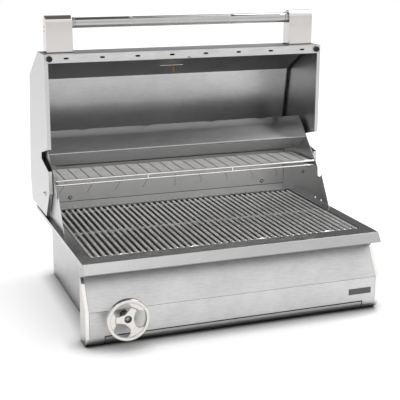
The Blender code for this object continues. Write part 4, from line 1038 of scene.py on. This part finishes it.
# One folded sheet with round bends and four notches in its top edge; the part under the nose is rougher and
# painted lighter.
def makeShield():
    s = shield
    front = [Vector((0, y, z)) for y, z in s["line"]]
    stations = [-s["half"], s["half"]]
    for share in s["notchShares"]:
        stations += [share * s["half"] - s["notchHalf"], share * s["half"] + s["notchHalf"]]
    stations.sort()
    shape = bmesh.new()
    for index, (low, high) in enumerate(zip(stations, stations[1:])):
        points = list(front)
        if index % 2:
            points[0] = points[0] + (points[1] - points[0]).normalized() * s["notch"]
        face = bent(points, s["bend"], 6)
        back = []
        for before, here, after in zip([face[0]] + face, face, face[1:] + [face[-1]]):
            course = (after - before).normalized()
            back.append(here + Vector((0, -course.z, course.y)) * s["thick"])
        addPlate(shape, [(p.y, p.z) for p in face + back[::-1]], low, high)
    for polygon in shape.faces:
        polygon.material_index = 1 if polygon.calc_center_median().z < s["paintedLighterBelow"] else 0
    piece = newPiece(
        "heat_shield_folded", shape, shieldSteel, "root", ("heat_shield",),
        smoothAngle=50)
    piece.data.materials.append(shieldPaintedLighter)


makeShield()

# Painted shade: flat black pieces set in gaps, seen through them

paintedGapShade = {
    "hood_slot_painted_shade": ((-0.4400, 0.4229, 0.4967), (0.4400, 0.4262, 0.5180), "hood"),
    "drawer_mouth_painted_shade": ((-0.4020, -0.0158, -0.2118), (0.4020, 0.0200, -0.2086), "root"),
}
paintedGapShadeEdge = 0.0002
gapShadeLine = {
    "x": 0.40275, "radius": 0.0012, "face": -0.0158, "roll": 0.028, "floor": -0.2412, "head": -0.2092,
    "sweep": 0.36,  # half turns that it follows the console's rolled foot
}


# Flat black blocks behind the hood's front slots and over the drawer's mouth, which paint the shade in them.
def makeGapShades():
    for name, (low, high, body) in paintedGapShade.items():
        shape = bmesh.new()
        addBlock(shape, low, high)
        newPiece(name, shape, paintedShadeBlack, body, smoothAngle=30, edge=paintedGapShadeEdge)


# A round black line down each side of the drawer's mouth, sunk in the console's edge, which paints the shade
# in the gap there.
def makeGapShadeLines():
    c = gapShadeLine
    centre = (c["face"] + c["roll"], c["floor"] + c["roll"])
    foot = arc(centre, c["roll"], math.pi, math.pi * (1 + c["sweep"]), 10)
    for side, sign in bothSides:
        shape = bmesh.new()
        addWire(shape, [(sign * c["x"], y, z) for y, z in [(c["face"], c["head"]), *foot]], c["radius"], 10)
        newPiece("drawer_mouth_painted_shade_line_" + side, shape, paintedShadeBlack, "root")


makeGapShades()
makeGapShadeLines()

# Firebed and lift gear

coals = {
    "front": 0.1585, "rear": 0.5265, "bars": 11, "radius": 0.0035, "half": 0.3729, "height": -0.1796,
    "railInset": 0.020, "railHalf": 0.005, "railLow": -0.1896,
}


# Round bars welded across three flat rails.
def makeCoalGrate():
    c = coals
    shape = bmesh.new()
    for y in spread(c["bars"], c["front"], c["rear"]):
        addWire(shape, [(-c["half"], y, c["height"]), (c["half"], y, c["height"])], c["radius"], 14)
    reach = c["half"] - c["railInset"]
    for x in (-reach, 0, reach):
        addBlock(
            shape, (x - c["railHalf"], c["front"], c["railLow"]), (x + c["railHalf"], c["rear"], c["height"]))
    newPiece("coal_bars", shape, firedSteel, "tray", ("charcoal_grate",))


makeCoalGrate()

gear = {
    "x": -0.348, "y": 0.0981, "z": -0.17004, "half": 0.0060, "teeth": 30, "tip": 0.0148, "root": 0.0127,
    "bore": 0.0049,
}
toothShares = ((0.0, "root"), (0.30, "root"), (0.44, "tip"), (0.70, "tip"), (0.84, "root"))


# The bronze worm gear on the lift shaft.
def makeGear():
    g = gear
    shape = bmesh.new()
    outer, inner = [], []
    for tooth in range(g["teeth"]):
        for share, level in toothShares:
            turn = 2 * math.pi * (tooth + share) / g["teeth"]
            for ring, radius in ((outer, g[level]), (inner, g["bore"])):
                ring.append((g["y"] + radius * math.cos(turn), g["z"] + radius * math.sin(turn)))
    loops = [
        [shape.verts.new((x, y, z)) for y, z in ring]
        for x in (g["x"] - g["half"], g["x"] + g["half"]) for ring in (outer, inner)]
    count = len(outer)
    for one, other in ((0, 1), (1, 3), (3, 2), (2, 0)):
        first, second = loops[one], loops[other]
        for k in range(count):
            after = (k + 1) % count
            shape.faces.new((first[k], first[after], second[after], second[k]))
    newPiece("lift_worm_gear", shape, bronzeTurned, "lift", ("worm_gear",), smoothAngle=25)


makeGear()
print("small fixings, coal bars and gear built")

# Stage: floor, light and camera

stageFloor = {
    "size": 24.0, "drop": 0.2 * mm, "glow": 0.08, "tint": 0.905,
    "gloss": 0.3,  # share of the glow that metal sees
    # How far out and how deep a painted contact shadow darkens the floor where something stands close above
    # it, and how much deeper metal sees it.
    "paintedShadowReach": 0.06, "paintedShadowDepth": 1.3, "paintedShadowDepthInMetal": 2.0,
}
# Brightness by height (0 at eye level, 1 straight up): what metal sees is a white backdrop, a bright band of
# lamps and a dark ceiling; what lights the floor comes mostly from above.
skyBands = (
    (0.0, 0.98), (0.30, 0.98), (0.42, 1.15), (0.76, 1.15),
    (0.79, 1.8), (0.84, 1.8), (0.87, 0.30), (1.0, 0.16))
roomBands = ((0.0, 0.14), (0.30, 0.46), (0.60, 1.10), (1.0, 1.70))
# A dark flag hangs behind the object, from a little above the floor.
flag = {"level": 0.20, "from": 0.10, "full": 0.45, "foot": 0.07, "head": 0.15}
softbox = {"from": (1.9, 0.9, 3.0), "to": (0, 0, 0.2), "size": (2.2, 1.6), "power": 42}
view = {
    "yaw": 20.281, "pitch": 15.079, "roll": 0.184, "from": (-1.0099, -2.413, 0.8445),
    "focalPixels": 957.34, "framePixels": 400, "sensorWidth": 36.0,
}


# 1 for rays that should meet plain white: from the camera and through glass.
def seenPath(tree):
    path = addNode(tree, "ShaderNodeLightPath")
    seen = addNode(
        tree, "ShaderNodeMath", {"operation": "MAXIMUM"},
        i0=path.outputs["Is Camera Ray"], i1=path.outputs["Is Transmission Ray"])
    return path, seen


def makeFloor():
    f = stageFloor
    bpy.ops.mesh.primitive_plane_add(size=f["size"], location=(0, 0, cadBox[0].z - f["drop"]))
    plane = bpy.context.object
    plane.name = "studio_floor"
    material = bpy.data.materials.new("studio_floor_white")
    material.use_nodes = True
    tree = material.node_tree
    tree.nodes.clear()
    # Ambient occlusion paints a contact shadow into the floor's colour and its glow.
    close = addNode(tree, "ShaderNodeAmbientOcclusion", {"samples": 8, "Distance": f["paintedShadowReach"]})
    path, seen = seenPath(tree)
    depth = addNode(
        tree, "ShaderNodeMath", {"operation": "MULTIPLY_ADD", 1: f["paintedShadowDepthInMetal"], 2: f["paintedShadowDepth"]},
        i0=path.outputs["Is Glossy Ray"])
    paintedContactShadow = addNode(
        tree, "ShaderNodeMath", {"operation": "POWER"}, i0=close.outputs["AO"], i1=depth.outputs[0])
    tint = addNode(tree, "ShaderNodeMath", {"operation": "MULTIPLY", 1: f["tint"]}, i0=paintedContactShadow.outputs[0])
    paint = addNode(tree, "ShaderNodeBsdfDiffuse", Color=tint.outputs[0])
    reached = addNode(
        tree, "ShaderNodeMath", {"operation": "MULTIPLY_ADD", 1: f["gloss"]},
        i0=path.outputs["Is Glossy Ray"], i2=seen.outputs[0])
    strength = addNode(tree, "ShaderNodeMath", {"operation": "MULTIPLY", 1: f["glow"]}, i0=reached.outputs[0])
    glow = addNode(tree, "ShaderNodeEmission", Color=paintedContactShadow.outputs[0], Strength=strength.outputs[0])
    both = addNode(tree, "ShaderNodeAddShader", i0=paint.outputs[0], i1=glow.outputs[0])
    addNode(tree, "ShaderNodeOutputMaterial", Surface=both.outputs[0])
    plane.data.materials.append(material)


def fillRamp(node, bands):
    elements = node.color_ramp.elements
    while len(elements) < len(bands):
        elements.new(0.5)
    for element, (rise, level) in zip(elements, bands):
        element.position = rise
        element.color = (level, level, level, 1)


def makeWorld():
    world = bpy.data.worlds.new("studio_light")
    bpy.context.scene.world = world
    world.use_nodes = True
    tree = world.node_tree
    tree.nodes.clear()
    path, seen = seenPath(tree)
    where = addNode(tree, "ShaderNodeTexCoord")
    heading = addNode(tree, "ShaderNodeSeparateXYZ", Vector=where.outputs["Generated"])
    sky = addNode(tree, "ShaderNodeValToRGB", Fac=heading.outputs["Z"])
    fillRamp(sky, skyBands)
    room = addNode(tree, "ShaderNodeValToRGB", Fac=heading.outputs["Z"])
    fillRamp(room, roomBands)
    behind = addNode(
        tree, "ShaderNodeMapRange",
        {"From Min": flag["from"], "From Max": flag["full"], "To Min": 1.0, "To Max": flag["level"]},
        Value=heading.outputs["Y"])
    below = addNode(
        tree, "ShaderNodeMapRange",
        {"From Min": flag["foot"], "From Max": flag["head"], "To Min": 1.0, "To Max": 0.0},
        Value=heading.outputs["Z"])
    shade = addNode(
        tree, "ShaderNodeMath", {"operation": "MAXIMUM"}, i0=behind.outputs[0], i1=below.outputs[0])
    flagged = addNode(
        tree, "ShaderNodeMix", {"data_type": "RGBA", "blend_type": "MULTIPLY", "Factor": 1.0},
        i6=sky.outputs[0])
    tree.links.new(shade.outputs[0], flagged.inputs[7])
    lit = addNode(
        tree, "ShaderNodeMix", {"data_type": "RGBA"}, Factor=path.outputs["Is Diffuse Ray"],
        i6=flagged.outputs[2], i7=room.outputs[0])
    whiteOrLit = addNode(
        tree, "ShaderNodeMix", {"data_type": "RGBA", 7: (1, 1, 1, 1)}, Factor=seen.outputs[0],
        i6=lit.outputs[2])
    glow = addNode(tree, "ShaderNodeBackground", {"Strength": 1.0}, Color=whiteOrLit.outputs[2])
    addNode(tree, "ShaderNodeOutputWorld", Surface=glow.outputs[0])


def addSoftbox(name, box):
    light = bpy.data.lights.new(name, "AREA")
    light.shape = "RECTANGLE"
    light.size, light.size_y = box["size"]
    light.energy = box["power"]
    lamp = bpy.data.objects.new(name, light)
    lamp.location = box["from"]
    lamp.rotation_euler = (Vector(box["to"]) - Vector(box["from"])).to_track_quat("-Z", "Y").to_euler()
    bpy.context.scene.collection.objects.link(lamp)


# The photograph's view, found from the trim, the hood and the console seen in it.
def makeCamera():
    yaw, pitch, roll = [math.radians(view[key]) for key in ("yaw", "pitch", "roll")]
    ahead = Vector((math.sin(yaw) * math.cos(pitch), math.cos(yaw) * math.cos(pitch), -math.sin(pitch)))
    level = Vector((math.cos(yaw), -math.sin(yaw), 0))
    upright = level.cross(ahead)
    right = level * math.cos(roll) + upright * math.sin(roll)
    up = upright * math.cos(roll) - level * math.sin(roll)
    data = bpy.data.cameras.new("studio_camera")
    data.sensor_width = view["sensorWidth"]
    data.lens = view["focalPixels"] * view["sensorWidth"] / view["framePixels"]
    camera = bpy.data.objects.new("studio_camera", data)
    turn = Matrix((right, up, -ahead)).transposed().to_4x4()
    camera.matrix_world = Matrix.Translation(modelOrigin + Vector(view["from"])) @ turn
    bpy.context.scene.collection.objects.link(camera)
    bpy.context.scene.camera = camera


makeFloor()
makeWorld()
addSoftbox("key_softbox", softbox)
makeCamera()
bpy.context.scene.view_settings.view_transform = "Standard"
print("stage set")
